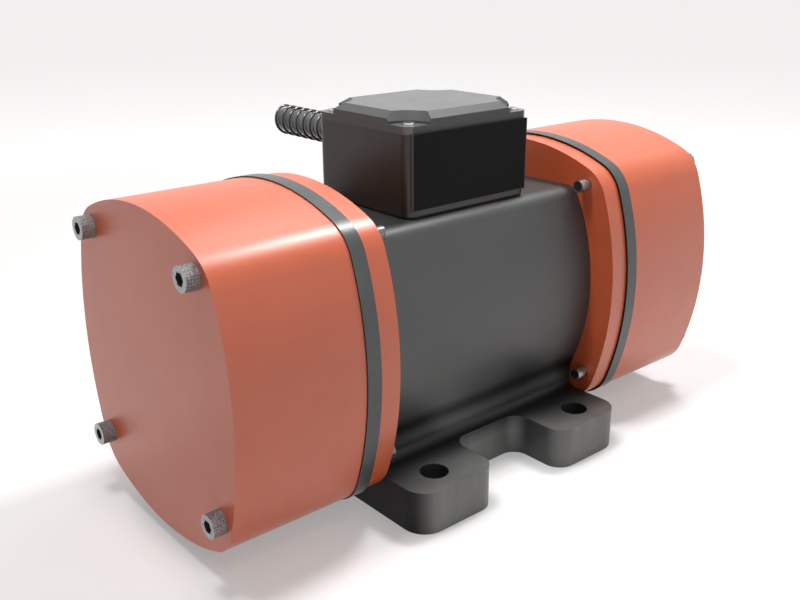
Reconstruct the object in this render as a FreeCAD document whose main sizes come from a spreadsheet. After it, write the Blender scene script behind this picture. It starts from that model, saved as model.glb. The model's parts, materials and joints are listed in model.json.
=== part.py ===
import FreeCAD, Part
import math
import os

import Sketcher

# Electric vibration motor with unbalance weights at both shaft ends, on four feet.
# X runs along the shaft, Y across the feet, Z up. The origin is the middle of the foot pattern on the floor.
# The left-hand pieces are the right-hand ones turned by half a turn about Z.

OUT = "parts"

# Driving dimensions in millimetres and plain counts. Heights and depths are taken from the shaft axis.
DIMENSIONS = [
    # bulged outline shared by flanges, bands and weight covers
    ("cover_half_width", 64.0),
    ("cover_half_height", 70.0),
    ("cover_side_bulge", 144.0),
    ("cover_top_bulge", 113.0),
    ("cover_corner", 20.0),
    ("cover_clearance", 6.0),
    ("cover_wall", 3.0),
    ("cover_end_wall", 3.5),
    ("column_radius", 5.5),
    ("band_thickness", 7.0),
    ("band_proud", 0.6),
    ("band_width", 11.0),
    ("flange_inset", 0.5),
    ("flange_thickness", 10.5),
    # cover screws
    ("screw_top_inset_y", 20.0),
    ("screw_top_inset_z", 17.5),
    ("screw_low_inset_y", 15.0),
    ("screw_low_inset_z", 25.3),
    ("cover_screw_radius", 3.0),
    ("cover_screw_head_radius", 5.0),
    ("cover_screw_head", 6.0),
    ("cover_screw_tail", 7.0),
    ("cover_screw_socket", 5.0),
    ("cover_screw_socket_depth", 3.0),
    # clearances, and how far a cut or a joined form runs past the face it starts at
    ("fit", 0.03),
    ("screw_play", 0.3),
    ("overlap", 1.0),
    # housing casting
    ("axis_height", 75.0),
    ("housing_half_length", 68.0),
    ("barrel_half_width", 50.0),
    ("barrel_half_height", 50.5),
    ("barrel_side_bulge", 100.0),
    ("barrel_corner", 8.0),
    ("housing_wall", 8.0),
    ("block_half_width", 41.0),
    ("block_top", 30.0),
    ("foot_setback", 1.6),
    ("foot_half_width", 75.0),
    ("foot_thickness", 20.0),
    ("foot_corner", 11.0),
    ("foot_hole_x", 47.0),
    ("foot_hole_y", 61.0),
    ("foot_hole_radius", 6.5),
    ("scallop_half_width", 21.5),
    ("scallop_bottom_y", 45.5),
    ("scallop_corner", 8.0),
    ("scallop_mouth", 9.0),
    ("web_fillet", 4.0),
    ("web_hollow", 20.0),
    ("core_end_wall", 10.4),
    ("core_half_width", 32.0),
    ("core_depth", 18.0),
    ("core_corner", 6.0),
    ("core_rib", 8.0),
    ("box_thread_depth", 9.0),
    # stator and rotor
    ("stator_setback", 40.0),
    ("stator_inner", 24.5),
    ("slot_count", 24),
    ("slot_mouth_half", 1.0),
    ("slot_mouth_depth", 1.5),
    ("slot_inner_half", 1.7),
    ("slot_outer_half", 2.9),
    ("stator_yoke", 8.0),
    ("winding_gap", 0.3),
    ("winding_reach", 18.0),
    ("winding_inset", 4.0),
    ("winding_end_gap", 1.0),
    ("winding_corner", 3.0),
    ("air_gap", 0.4),
    ("bar_count", 18),
    ("bar_half_width", 1.4),
    ("bar_inner", 17.0),
    ("bar_skin", 0.8),
    ("end_ring", 8.0),
    # shaft
    ("shaft_core_radius", 15.0),
    ("shaft_bearing_radius", 12.5),
    ("shaft_weight_radius", 11.0),
    ("shaft_thread_radius", 10.0),
    ("shaft_tail", 4.9),
    ("shaft_chamfer", 1.0),
    # bearings
    ("bearing_setback", 7.5),
    ("bearing_width", 17.0),
    ("bearing_outer", 31.0),
    ("race_wall", 5.1),
    ("ball_radius", 5.75),
    ("ball_play", 0.05),
    ("ball_count", 8),
    ("cage_half_height", 1.75),
    ("cage_half_width", 7.0),
    ("shoulder_thickness", 2.5),
    ("shoulder_height", 4.0),
    ("boss_wall", 7.0),
    ("spigot_length", 4.0),
    ("cap_margin", 7.5),
    ("cap_thickness", 5.5),
    ("cap_play", 0.4),
    ("cap_screw_offset", 3.6),
    ("cap_screw_radius", 2.0),
    ("cap_screw_head_radius", 3.5),
    ("cap_screw_head", 3.8),
    ("cap_screw_recess", 4.0),
    ("cap_screw_length", 10.0),
    ("cap_screw_socket", 3.0),
    ("cap_screw_socket_depth", 2.0),
    ("cap_register_gap", 0.5),
    ("flange_screw_offset", 7.0),
    ("flange_screw_radius", 3.0),
    ("flange_screw_head_radius", 5.0),
    ("flange_screw_head", 6.0),
    ("flange_screw_socket", 5.0),
    ("flange_screw_socket_depth", 3.0),
    ("flange_screw_depth", 18.0),
    ("flange_thread_depth", 20.0),
    # unbalance weights
    ("spacer_wall", 3.5),
    ("spacer_length", 9.5),
    ("weight_radius", 50.0),
    ("weight_hub_wall", 9.0),
    ("weight_thickness", 16.0),
    ("weight_gap", 0.3),
    ("key_width", 6.0),
    ("key_height", 6.0),
    ("key_depth", 3.5),
    ("tongue_play", 0.1),
    ("tongue_lift", 0.5),
    ("clamp_half_width", 15.0),
    ("clamp_height", 15.0),
    ("clamp_slit", 2.5),
    ("clamp_bolt_offset", 7.0),
    ("clamp_bolt_radius", 4.0),
    ("clamp_head_radius", 6.5),
    ("clamp_head", 8.0),
    ("clamp_bolt_socket", 6.0),
    ("clamp_bolt_socket_depth", 4.0),
    ("scale_width", 23.0),
    ("scale_thickness", 1.5),
    ("nut_flats", 30.0),
    ("nut_thickness", 10.0),
    # terminal box
    ("box_half_length", 37.0),
    ("box_half_width", 32.0),
    ("box_corner", 4.5),
    ("box_gasket", 1.0),
    ("box_gasket_inset", 1.0),
    ("box_height", 35.7),
    ("box_wall", 3.5),
    ("box_floor", 4.0),
    ("box_screw_inset_x", 11.0),
    ("box_screw_inset_y", 14.0),
    ("box_screw_radius", 2.5),
    ("box_screw_head_radius", 4.25),
    ("box_screw_head", 5.0),
    ("box_screw_length", 12.0),
    ("box_screw_socket", 4.0),
    ("lead_hole_y", 14.0),
    ("lead_hole_radius", 8.0),
    ("bushing_wall", 2.5),
    ("bushing_rim", 2.0),
    ("bushing_rim_thickness", 1.5),
    ("bushing_length", 10.0),
    ("lid_rim", 3.3),
    ("lid_step", 1.0),
    ("lid_bevel_height", 4.0),
    ("lid_bevel_width", 2.7),
    ("lid_scallop", 12.5),
    ("lid_lip", 1.5),
    ("lid_roof", 3.3),
    ("lid_column_radius", 4.3),
    ("lid_screw_inset", 5.5),
    ("lid_screw_radius", 1.5),
    ("lid_screw_head_radius", 2.75),
    ("lid_screw_head", 1.0),
    ("lid_screw_socket", 2.0),
    ("lid_screw_depth", 11.0),
    ("lid_thread_depth", 12.0),
    ("lid_gasket", 0.8),
    ("lid_gasket_width", 2.0),
    ("lid_gasket_inset", 0.8),
    ("plate_half_length", 35.0),
    ("plate_height", 33.2),
    ("plate_thickness", 1.2),
    ("terminal_side_gap", 1.75),
    ("terminal_half_width", 9.0),
    ("terminal_height", 9.0),
    ("terminal_corner", 2.0),
    ("terminal_gap", 4.0),
    ("stud_radius", 2.0),
    ("stud_length", 9.0),
    ("stud_pitch", 12.0),
    ("stud_row", 4.0),
    ("stud_nut_flats", 7.0),
    ("stud_nut", 3.2),
    ("earth_screw_inset_x", 20.0),
    ("earth_screw_inset_y", 10.0),
    ("earth_screw_radius", 2.0),
    ("earth_screw_head_radius", 4.0),
    ("earth_screw_head", 3.0),
    ("earth_screw_socket", 3.0),
    ("earth_screw_depth", 3.5),
    # cable entry
    ("gland_rise", 21.5),
    ("gland_thread_radius", 8.0),
    ("gland_thread_length", 6.0),
    ("gland_locknut_thickness", 4.0),
    ("gland_flats", 20.0),
    ("gland_flange", 5.0),
    ("gland_nut_length", 15.0),
    ("gland_nose_length", 6.0),
    ("sleeve_radius", 4.0),
    ("sleeve_bore", 3.0),
    ("spring_wire", 0.7),
    ("spring_radius", 7.4),
    ("spring_pitch", 6.4),
    ("spring_turns", 10),
]


class Size:
    """A dimension that carries its value and its formula in sheet cells."""

    def __init__(self, number, text):
        self.number = float(number)
        self.text = text

    def __add__(self, other):
        other = as_size(other)
        return Size(self.number + other.number, "(" + self.text + " + " + other.text + ")")

    def __radd__(self, other):
        return as_size(other) + self

    def __sub__(self, other):
        other = as_size(other)
        return Size(self.number - other.number, "(" + self.text + " - " + other.text + ")")

    def __rsub__(self, other):
        return as_size(other) - self

    def __mul__(self, other):
        other = as_size(other)
        return Size(self.number * other.number, "(" + self.text + " * " + other.text + ")")

    def __rmul__(self, other):
        return as_size(other) * self

    def __truediv__(self, other):
        other = as_size(other)
        return Size(self.number / other.number, "(" + self.text + " / " + other.text + ")")

    def __neg__(self):
        return Size(-self.number, "(0 - " + self.text + ")")


def as_size(value):
    """A plain number as a size, a size as itself."""
    if isinstance(value, Size):
        return value
    return Size(value, "(" + repr(float(value)) + ")")


class Sizes:
    """The spreadsheet of driving dimensions, one attribute for each."""

    def __init__(self, doc):
        self.sheet = doc.addObject("Spreadsheet::Sheet", "Sizes")
        for row, (name, number) in enumerate(DIMENSIONS, start=1):
            self.sheet.set("A" + str(row), name)
            self.sheet.set("B" + str(row), str(number))
            self.sheet.setAlias("B" + str(row), name)
            setattr(self, name, Size(number, "Sizes." + name))


doc = FreeCAD.newDocument("VibrationMotor")
S = Sizes(doc)
doc.recompute()

NODES = []
HALF_TURN = 180.0


# Sketch and feature helpers


def new_body(label, turned=False):
    """A body at shaft height, turned by half a turn about Z for a left-hand piece."""
    body = doc.addObject("PartDesign::Body", label)
    body.Label = label
    body.AllowCompound = True
    body.Placement.Rotation = FreeCAD.Rotation(FreeCAD.Vector(0, 0, 1), HALF_TURN if turned else 0.0)
    body.setExpression("Placement.Base.z", S.axis_height.text)
    NODES.append(body)
    return body


def origin_feature(body, role):
    """One of the body's own origin planes or axes."""
    return [item for item in body.Origin.OriginFeatures if item.Role == role][0]


def new_sketch(body, plane, offset=0.0, rise=0.0):
    """A sketch on an origin plane, moved along its normal by offset and along its own y by rise."""
    sketch = body.newObject("Sketcher::SketchObject", body.Label + "_sketch")
    sketch.AttachmentSupport = [(origin_feature(body, plane), "")]
    sketch.MapMode = "FlatFace"
    offset = as_size(offset)
    rise = as_size(rise)
    sketch.AttachmentOffset = FreeCAD.Placement(
        FreeCAD.Vector(0, rise.number, offset.number), FreeCAD.Rotation())
    sketch.setExpression("AttachmentOffset.Base.z", offset.text)
    sketch.setExpression("AttachmentOffset.Base.y", rise.text)
    return sketch


def point(x, y):
    """A vector in a sketch."""
    return FreeCAD.Vector(as_size(x).number, as_size(y).number, 0)


def hold(sketch, kind, geometry, size):
    """A driving constraint bound to the sheet."""
    size = as_size(size)
    index = sketch.addConstraint(Sketcher.Constraint(kind, *geometry, size.number))
    sketch.setExpression("Constraints[" + str(index) + "]", size.text)


def pin(sketch, geometry, position, x, y):
    """Holds a sketch point at x, y from the sketch's origin."""
    hold(sketch, "DistanceX", (-1, 1, geometry, position), x)
    hold(sketch, "DistanceY", (-1, 1, geometry, position), y)


def circle(sketch, x, y, radius):
    """A circle held by its centre and radius."""
    radius = as_size(radius)
    shape = Part.Circle(point(x, y), FreeCAD.Vector(0, 0, 1), radius.number)
    index = sketch.addGeometry(shape, False)
    pin(sketch, index, 3, x, y)
    hold(sketch, "Radius", (index,), radius)


def polygon(sketch, corners):
    """A closed outline of straight edges, each corner held in place."""
    count = len(corners)
    first = sketch.GeometryCount
    for i, (x, y) in enumerate(corners):
        end = corners[(i + 1) % count]
        sketch.addGeometry(Part.LineSegment(point(x, y), point(*end)), False)
    for i, (x, y) in enumerate(corners):
        sketch.addConstraint(Sketcher.Constraint("Coincident", first + (i - 1) % count, 2, first + i, 1))
        pin(sketch, first + i, 1, x, y)


def hexagon(sketch, x, y, flats):
    """A hexagon of the given width across flats, with a corner on each side in x."""
    across = as_size(flats) / 2.0
    reach = across / math.cos(math.radians(30))
    corners = []
    for i in range(6):
        angle = math.radians(60 * i)
        corners.append((x + reach * math.cos(angle), y + reach * math.sin(angle)))
    polygon(sketch, corners)


def direction(a, b):
    """Sign of the step from a to b in x and in y, for edges along the axes."""
    step_x = as_size(b[0]).number - as_size(a[0]).number
    step_y = as_size(b[1]).number - as_size(a[1]).number
    return (step_x > 1e-9) - (step_x < -1e-9), (step_y > 1e-9) - (step_y < -1e-9)


def rounded(sketch, corners):
    """A closed outline of edges along the axes; each corner is x, y and its radius."""
    count = len(corners)
    first = sketch.GeometryCount
    starts = []
    ends = []
    for i, corner in enumerate(corners):
        back = direction(corner, corners[i - 1])
        ahead = direction(corner, corners[(i + 1) % count])
        radius = as_size(corner[2])
        starts.append((corner[0] + radius * ahead[0], corner[1] + radius * ahead[1]))
        ends.append((corner[0] + radius * back[0], corner[1] + radius * back[1]))
    for i in range(count):
        sketch.addGeometry(Part.LineSegment(point(*starts[i]), point(*ends[(i + 1) % count])), False)
    for i, corner in enumerate(corners):
        radius = as_size(corner[2])
        back = direction(corner, corners[i - 1])
        ahead = direction(corner, corners[(i + 1) % count])
        centre = (corner[0] + radius * (ahead[0] + back[0]), corner[1] + radius * (ahead[1] + back[1]))
        middle = point(*centre) - FreeCAD.Vector(ahead[0] + back[0], ahead[1] + back[1], 0).normalize() \
            * radius.number
        arc = Part.Arc(point(*ends[i]), middle, point(*starts[i]))
        index = sketch.addGeometry(arc, False)
        before = first + (i - 1) % count
        start_pos, end_pos = arc_ends(sketch, index, ends[i])
        sketch.addConstraint(Sketcher.Constraint("Tangent", before, 2, index, start_pos))
        sketch.addConstraint(Sketcher.Constraint("Tangent", first + i, 1, index, end_pos))
        pin(sketch, index, 3, centre[0], centre[1])
        hold(sketch, "Radius", (index,), radius)


def arc_ends(sketch, index, start):
    """Which end of an arc lies at start, and which is the other: sketch arcs always run counter-clockwise."""
    gap = (sketch.getPoint(index, 1) - point(*start)).Length
    other = (sketch.getPoint(index, 2) - point(*start)).Length
    return (1, 2) if gap < other else (2, 1)


def block(sketch, half_x, half_y, radius=None, centre=(0.0, 0.0)):
    """A rectangle about a centre, with rounded corners where a radius is given."""
    half_x = as_size(half_x)
    half_y = as_size(half_y)
    corners = []
    for sign_x, sign_y in ((-1, -1), (1, -1), (1, 1), (-1, 1)):
        corners.append((centre[0] + half_x * sign_x, centre[1] + half_y * sign_y))
    if radius is None:
        polygon(sketch, corners)
    else:
        rounded(sketch, [(x, y, radius) for x, y in corners])


def bulged(sketch, inset=0.0):
    """The taller-than-wide rounded square with bulging sides, inside the cover's outline by inset."""
    width = S.cover_half_width - inset
    height = S.cover_half_height - inset
    side = S.cover_side_bulge - inset
    top = S.cover_top_bulge - inset
    corner = S.cover_corner - inset
    # the corner's centre lies where circles about the side's and the top's centres meet
    ax = width.number - side.number
    by = height.number - top.number
    ra = side.number - corner.number
    rb = top.number - corner.number
    span = math.hypot(ax, by)
    along = (ra * ra - rb * rb + span * span) / (2 * span)
    across = math.sqrt(ra * ra - along * along)
    cx = ax - (along * ax + across * by) / span
    cy = (along * by - across * ax) / span
    side_angle = math.atan2(cy, cx - ax)
    top_angle = math.atan2(cy - by, cx)
    z = FreeCAD.Vector(0, 0, 1)
    quarter = math.pi / 2
    arcs = [
        (ax, 0.0, side.number, -side_angle, side_angle),
        (cx, cy, corner.number, side_angle, top_angle),
        (0.0, by, top.number, top_angle, 2 * quarter - top_angle),
        (-cx, cy, corner.number, 2 * quarter - top_angle, 2 * quarter - side_angle),
        (-ax, 0.0, side.number, 2 * quarter - side_angle, 2 * quarter + side_angle),
        (-cx, -cy, corner.number, 2 * quarter + side_angle, 2 * quarter + top_angle),
        (0.0, -by, top.number, 2 * quarter + top_angle, 4 * quarter - top_angle),
        (cx, -cy, corner.number, 4 * quarter - top_angle, 4 * quarter - side_angle),
    ]
    first = sketch.GeometryCount
    for x, y, radius, start, end in arcs:
        base = Part.Circle(FreeCAD.Vector(x, y, 0), z, radius)
        sketch.addGeometry(Part.ArcOfCircle(base, start, end), False)
    pin(sketch, first, 3, width - side, 0.0)
    pin(sketch, first + 4, 3, side - width, 0.0)
    pin(sketch, first + 2, 3, 0.0, height - top)
    pin(sketch, first + 6, 3, 0.0, top - height)
    for i, radius in enumerate((side, corner, top, corner) * 2):
        hold(sketch, "Radius", (first + i,), radius)
    for i in range(8):
        sketch.addConstraint(Sketcher.Constraint("Tangent", first + i, 2, first + (i + 1) % 8, 1))


def pad(body, sketch, length, reverse=False, both=False):
    """Adds material on a sketch."""
    feature = body.newObject("PartDesign::Pad", body.Label + "_pad")
    feature.Profile = sketch
    length = as_size(length)
    feature.Length = length.number
    feature.setExpression("Length", length.text)
    feature.Reversed = reverse
    feature.Midplane = both
    sketch.Visibility = False
    return feature


def pocket(body, sketch, length, reverse=False, both=False):
    """Takes material away below a sketch, and checks that it did."""
    doc.recompute()
    before = body.Shape.Volume
    feature = body.newObject("PartDesign::Pocket", body.Label + "_pocket")
    feature.Profile = sketch
    length = as_size(length)
    feature.Length = length.number
    feature.setExpression("Length", length.text)
    feature.Reversed = reverse
    feature.Midplane = both
    doc.recompute()
    if not body.Shape.Volume < before - 1e-3:
        raise ValueError(body.Label + ": a pocket took nothing away")
    return feature


def revolve(body, sketch, groove=False):
    """Turns a sketch about its own horizontal axis, as material or as a groove."""
    kind = "PartDesign::Groove" if groove else "PartDesign::Revolution"
    feature = body.newObject(kind, body.Label + "_turned")
    feature.Profile = sketch
    feature.ReferenceAxis = (sketch, ["H_Axis"])
    feature.Angle = 360.0
    return feature


def around(body, feature, count):
    """Repeats a feature around the shaft axis."""
    doc.recompute()
    pattern = body.newObject("PartDesign::PolarPattern", body.Label + "_pattern")
    pattern.Originals = [feature]
    pattern.Axis = (origin_feature(body, "X_Axis"), [""])
    pattern.Angle = 360.0
    pattern.Occurrences = int(count.number)
    pattern.setExpression("Occurrences", count.text)
    body.Tip = pattern
    return pattern


def turned_part(label, profile, turned=False):
    """A body turned about the shaft axis from corners of x along the shaft and radius."""
    body = new_body(label, turned)
    sketch = new_sketch(body, "XZ_Plane")
    polygon(sketch, profile)
    revolve(body, sketch)
    return body


def ring_profile(start, end, inner, outer):
    """Corners of a plain ring."""
    return [(start, inner), (end, inner), (end, outer), (start, outer)]


def four_on_circle(radius):
    """Four places on a circle about the shaft, on the diagonals."""
    reach = radius * math.cos(math.radians(45))
    return [(reach, reach), (-reach, reach), (-reach, -reach), (reach, -reach)]


# Stations along the shaft on the right-hand side

STATOR_HALF_LENGTH = S.housing_half_length - S.stator_setback
FOOT_HALF_LENGTH = S.housing_half_length - S.foot_setback
CORE_HALF_LENGTH = FOOT_HALF_LENGTH - S.core_end_wall
BAND_START = S.housing_half_length + S.flange_thickness
COVER_START = BAND_START + S.band_thickness
BEARING_START = S.housing_half_length - S.bearing_setback
BEARING_END = BEARING_START + S.bearing_width
BEARING_MIDDLE = BEARING_START + S.bearing_width / 2.0
WEIGHT_START = BEARING_END + S.spacer_length
SECOND_START = WEIGHT_START + S.weight_thickness + S.weight_gap
SCALE_START = SECOND_START + S.weight_thickness + S.weight_gap
NUT_START = SCALE_START + S.scale_thickness
SHAFT_END = NUT_START + S.nut_thickness + S.shaft_tail
COVER_DEPTH = SHAFT_END - COVER_START + S.cover_clearance + S.cover_end_wall
COVER_END = COVER_START + COVER_DEPTH

# Radii about the shaft

STATOR_SEAT = S.barrel_half_width - S.housing_wall
SLOT_BOTTOM = STATOR_SEAT - S.stator_yoke
ROTOR_RADIUS = S.stator_inner - S.air_gap
OUTER_RACE_INSIDE = S.bearing_outer - S.race_wall
INNER_RACE_OUTSIDE = S.shaft_bearing_radius + S.race_wall
PITCH_RADIUS = (OUTER_RACE_INSIDE + INNER_RACE_OUTSIDE) / 2.0
SPACER_OUTER = S.shaft_bearing_radius + S.spacer_wall
WEIGHT_HUB = S.shaft_weight_radius + S.weight_hub_wall
CLAMP_TOP = WEIGHT_HUB + S.clamp_height
CLAMP_BOLT_Z = WEIGHT_HUB + S.clamp_bolt_offset
KEY_BOTTOM = S.shaft_weight_radius - S.key_depth

# Heights above the shaft

FLOOR_BOTTOM = -S.axis_height
FOOT_TOP = S.foot_thickness - S.axis_height
BOX_BOTTOM = S.barrel_half_height + S.box_gasket
BOX_FLOOR = BOX_BOTTOM + S.box_floor
BOX_TOP = BOX_BOTTOM + S.box_height
LID_FLOOR = BOX_TOP + S.lid_rim
GLAND_HEIGHT = BOX_BOTTOM + S.gland_rise

# Places of screws and holes

SCREW_TOP_Y = S.cover_half_width - S.screw_top_inset_y
SCREW_TOP_Z = S.cover_half_height - S.screw_top_inset_z
SCREW_LOW_Y = S.cover_half_width - S.screw_low_inset_y
SCREW_LOW_Z = S.cover_half_height - S.screw_low_inset_z
COVER_SCREWS = [
    (SCREW_TOP_Y, SCREW_TOP_Z),
    (-SCREW_TOP_Y, SCREW_TOP_Z),
    (-SCREW_LOW_Y, -SCREW_LOW_Z),
    (SCREW_LOW_Y, -SCREW_LOW_Z),
]
FLANGE_SCREWS = four_on_circle(STATOR_SEAT + S.flange_screw_offset)
FOOT_HOLES = [(S.foot_hole_x * i, S.foot_hole_y * j) for i in (-1, 1) for j in (-1, 1)]
BOX_SCREW_X = S.box_half_length - S.box_screw_inset_x
BOX_SCREW_Y = S.box_half_width - S.box_screw_inset_y
BOX_SCREWS = [(BOX_SCREW_X * i, BOX_SCREW_Y * j) for i in (-1, 1) for j in (-1, 1)]
LID_SCREWS = [((S.box_half_length - S.lid_screw_inset) * i, (S.box_half_width - S.lid_screw_inset) * j)
              for i in (-1, 1) for j in (-1, 1)]
EARTH_SCREW = (S.earth_screw_inset_x - S.box_half_length, S.box_half_width - S.earth_screw_inset_y)
TERMINAL_HALF_LENGTH = BOX_SCREW_X - S.box_screw_head_radius - S.terminal_side_gap


# Housing casting


def fillet_edges(body, feature, picked, radius):
    """Rounds the picked edges of a feature."""
    rounding = body.newObject("PartDesign::Fillet", body.Label + "_fillet")
    rounding.Base = (feature, picked)
    rounding.Radius = as_size(radius).number
    rounding.setExpression("Radius", as_size(radius).text)
    return rounding


def edges_where(shape, test):
    """Names of the edges whose ends and middle all pass a test."""
    names = []
    for i, edge in enumerate(shape.Edges, start=1):
        places = [edge.valueAt(edge.FirstParameter + (edge.LastParameter - edge.FirstParameter) * k / 4)
                  for k in range(5)]
        if all(test(place) for place in places):
            names.append("Edge" + str(i))
    return names


def make_housing():
    body = new_body("motor_housing")
    # barrel with bulged sides and a flat top and bottom
    sketch = new_sketch(body, "YZ_Plane", -S.housing_half_length)
    barrel_outline(sketch)
    pad(body, sketch, S.housing_half_length * 2.0)
    # block that carries the barrel down to the feet
    sketch = new_sketch(body, "XY_Plane", FLOOR_BOTTOM)
    block(sketch, FOOT_HALF_LENGTH, S.block_half_width)
    pad(body, sketch, S.axis_height - S.block_top)
    # feet with a rounded scallop between them, front and back
    sketch = new_sketch(body, "XY_Plane", FLOOR_BOTTOM)
    foot_outline(sketch)
    feet = pad(body, sketch, S.foot_thickness)
    doc.recompute()
    # soft corner along the foot of the block, front and back
    top = FOOT_TOP.number
    wall = S.block_half_width.number
    picked = edges_where(feet.Shape, lambda p: abs(p.z - top) < 0.01 and abs(abs(p.y) - wall) < 0.01)
    soft = fillet_edges(body, feet, picked, S.web_fillet)
    doc.recompute()
    # soft hollow where the bulging barrel runs into the block
    side = S.barrel_side_bulge.number
    meet = math.sqrt(side ** 2 - (side - S.barrel_half_width.number + wall) ** 2)
    picked = edges_where(soft.Shape, lambda p: abs(p.z + meet) < 0.1 and abs(abs(p.y) - wall) < 0.1)
    fillet_edges(body, soft, picked, S.web_hollow)
    # stator bore right through
    sketch = new_sketch(body, "YZ_Plane")
    circle(sketch, 0.0, 0.0, STATOR_SEAT)
    pocket(body, sketch, (S.housing_half_length + S.overlap) * 2.0, both=True)
    # foot holes
    sketch = new_sketch(body, "XY_Plane", FLOOR_BOTTOM)
    for x, y in FOOT_HOLES:
        circle(sketch, x, y, S.foot_hole_radius)
    pocket(body, sketch, S.foot_thickness, reverse=True)
    # two cored pockets under the block, with a rib between them
    sketch = new_sketch(body, "XY_Plane", FLOOR_BOTTOM)
    for side in (-1, 1):
        middle = (CORE_HALF_LENGTH + S.core_rib / 2.0) / 2.0 * side
        half = (CORE_HALF_LENGTH - S.core_rib / 2.0) / 2.0
        block(sketch, half, S.core_half_width, S.core_corner, (middle, 0.0))
    pocket(body, sketch, S.core_depth, reverse=True)
    # passage for the leads
    sketch = new_sketch(body, "XY_Plane", S.barrel_half_height)
    circle(sketch, 0.0, S.lead_hole_y, S.lead_hole_radius)
    pocket(body, sketch, S.barrel_half_height - STATOR_SEAT / 2.0)
    # threads for the terminal box
    sketch = new_sketch(body, "XY_Plane", S.barrel_half_height)
    for x, y in BOX_SCREWS:
        circle(sketch, x, y, S.box_screw_radius + S.fit)
    pocket(body, sketch, S.box_thread_depth)
    # threads for the flange screws, at both ends
    for end, reverse in ((S.housing_half_length, False), (-S.housing_half_length, True)):
        sketch = new_sketch(body, "YZ_Plane", end)
        for y, z in FLANGE_SCREWS:
            circle(sketch, y, z, S.flange_screw_radius + S.fit)
        pocket(body, sketch, S.flange_thread_depth, reverse=reverse)
    return body


def barrel_outline(sketch):
    """Bulging sides, straight top and bottom, rounded corners."""
    half_w = S.barrel_half_width
    half_h = S.barrel_half_height
    side = S.barrel_side_bulge
    corner = S.barrel_corner
    ax = half_w.number - side.number
    cy = half_h.number - corner.number
    reach = side.number - corner.number
    cx = ax + math.sqrt(reach * reach - cy * cy)
    angle = math.atan2(cy, cx - ax)
    quarter = math.pi / 2
    z = FreeCAD.Vector(0, 0, 1)

    def arc(x, y, radius, start, end):
        base = Part.Circle(FreeCAD.Vector(x, y, 0), z, radius)
        return sketch.addGeometry(Part.ArcOfCircle(base, start, end))

    def line(x1, y1, x2, y2):
        return sketch.addGeometry(Part.LineSegment(FreeCAD.Vector(x1, y1, 0), FreeCAD.Vector(x2, y2, 0)))

    right = arc(ax, 0, side.number, -angle, angle)
    ne = arc(cx, cy, corner.number, angle, quarter)
    top = line(cx, half_h.number, -cx, half_h.number)
    nw = arc(-cx, cy, corner.number, quarter, 2 * quarter - angle)
    left = arc(-ax, 0, side.number, 2 * quarter - angle, 2 * quarter + angle)
    sw = arc(-cx, -cy, corner.number, 2 * quarter + angle, 3 * quarter)
    bottom = line(-cx, -half_h.number, cx, -half_h.number)
    se = arc(cx, -cy, corner.number, 3 * quarter, 4 * quarter - angle)
    loop = [right, ne, top, nw, left, sw, bottom, se]
    for i, index in enumerate(loop):
        sketch.addConstraint(Sketcher.Constraint("Tangent", index, 2, loop[(i + 1) % 8], 1))
    sketch.addConstraint(Sketcher.Constraint("Horizontal", top))
    sketch.addConstraint(Sketcher.Constraint("Horizontal", bottom))
    hold(sketch, "DistanceY", (-1, 1, top, 1), half_h)
    hold(sketch, "DistanceY", (-1, 1, bottom, 1), -half_h)
    pin(sketch, right, 3, half_w - side, 0.0)
    pin(sketch, left, 3, side - half_w, 0.0)
    for index in (right, left):
        hold(sketch, "Radius", (index,), side)
    for index in (ne, nw, sw, se):
        hold(sketch, "Radius", (index,), corner)


def foot_outline(sketch):
    """Plan of the base: four rounded feet with a scallop at the front and at the back."""
    x, y = FOOT_HALF_LENGTH, S.foot_half_width
    sx, sy = S.scallop_half_width, S.scallop_bottom_y
    outer, mouth, inner = S.foot_corner, S.scallop_mouth, S.scallop_corner
    rounded(sketch, [
        (-x, -y, outer), (-sx, -y, mouth), (-sx, -sy, inner),
        (sx, -sy, inner), (sx, -y, mouth), (x, -y, outer),
        (x, y, outer), (sx, y, mouth), (sx, sy, inner),
        (-sx, sy, inner), (-sx, y, mouth), (-x, y, outer),
    ])


# Stator and winding


def slot_corners(gap=0.0, mouth=True):
    """Outline of one slot above the shaft, narrowed by gap."""
    inner = S.stator_inner + S.slot_mouth_depth + gap
    outer = SLOT_BOTTOM - gap
    low = S.slot_inner_half - gap
    high = S.slot_outer_half - gap
    if not mouth:
        return [(-low, inner), (low, inner), (high, outer), (-high, outer)]
    start = S.stator_inner - S.overlap
    neck = S.slot_mouth_half
    return [(-neck, start), (neck, start), (neck, inner), (low, inner), (high, outer), (-high, outer),
            (-low, inner), (-neck, inner)]


def make_stator():
    body = new_body("stator_core")
    sketch = new_sketch(body, "YZ_Plane", -STATOR_HALF_LENGTH)
    circle(sketch, 0.0, 0.0, STATOR_SEAT - S.fit)
    circle(sketch, 0.0, 0.0, S.stator_inner)
    pad(body, sketch, STATOR_HALF_LENGTH * 2.0)
    sketch = new_sketch(body, "YZ_Plane")
    polygon(sketch, slot_corners())
    slot = pocket(body, sketch, (STATOR_HALF_LENGTH + S.overlap) * 2.0, both=True)
    around(body, slot, S.slot_count)

    body = new_body("stator_winding")
    sketch = new_sketch(body, "YZ_Plane")
    polygon(sketch, slot_corners(S.winding_gap, mouth=False))
    near = STATOR_HALF_LENGTH + S.winding_end_gap
    far = STATOR_HALF_LENGTH + S.winding_reach
    bar = pad(body, sketch, near * 2.0, both=True)
    around(body, bar, S.slot_count)
    inner = S.stator_inner + S.slot_mouth_depth + S.winding_gap
    outer = STATOR_SEAT - S.winding_inset
    for side in (-1, 1):
        sketch = new_sketch(body, "XZ_Plane")
        block(sketch, (far - near) / 2.0, (outer - inner) / 2.0, S.winding_corner,
              ((far + near) / 2.0 * side, (outer + inner) / 2.0))
        revolve(body, sketch)


# Rotor


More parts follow.
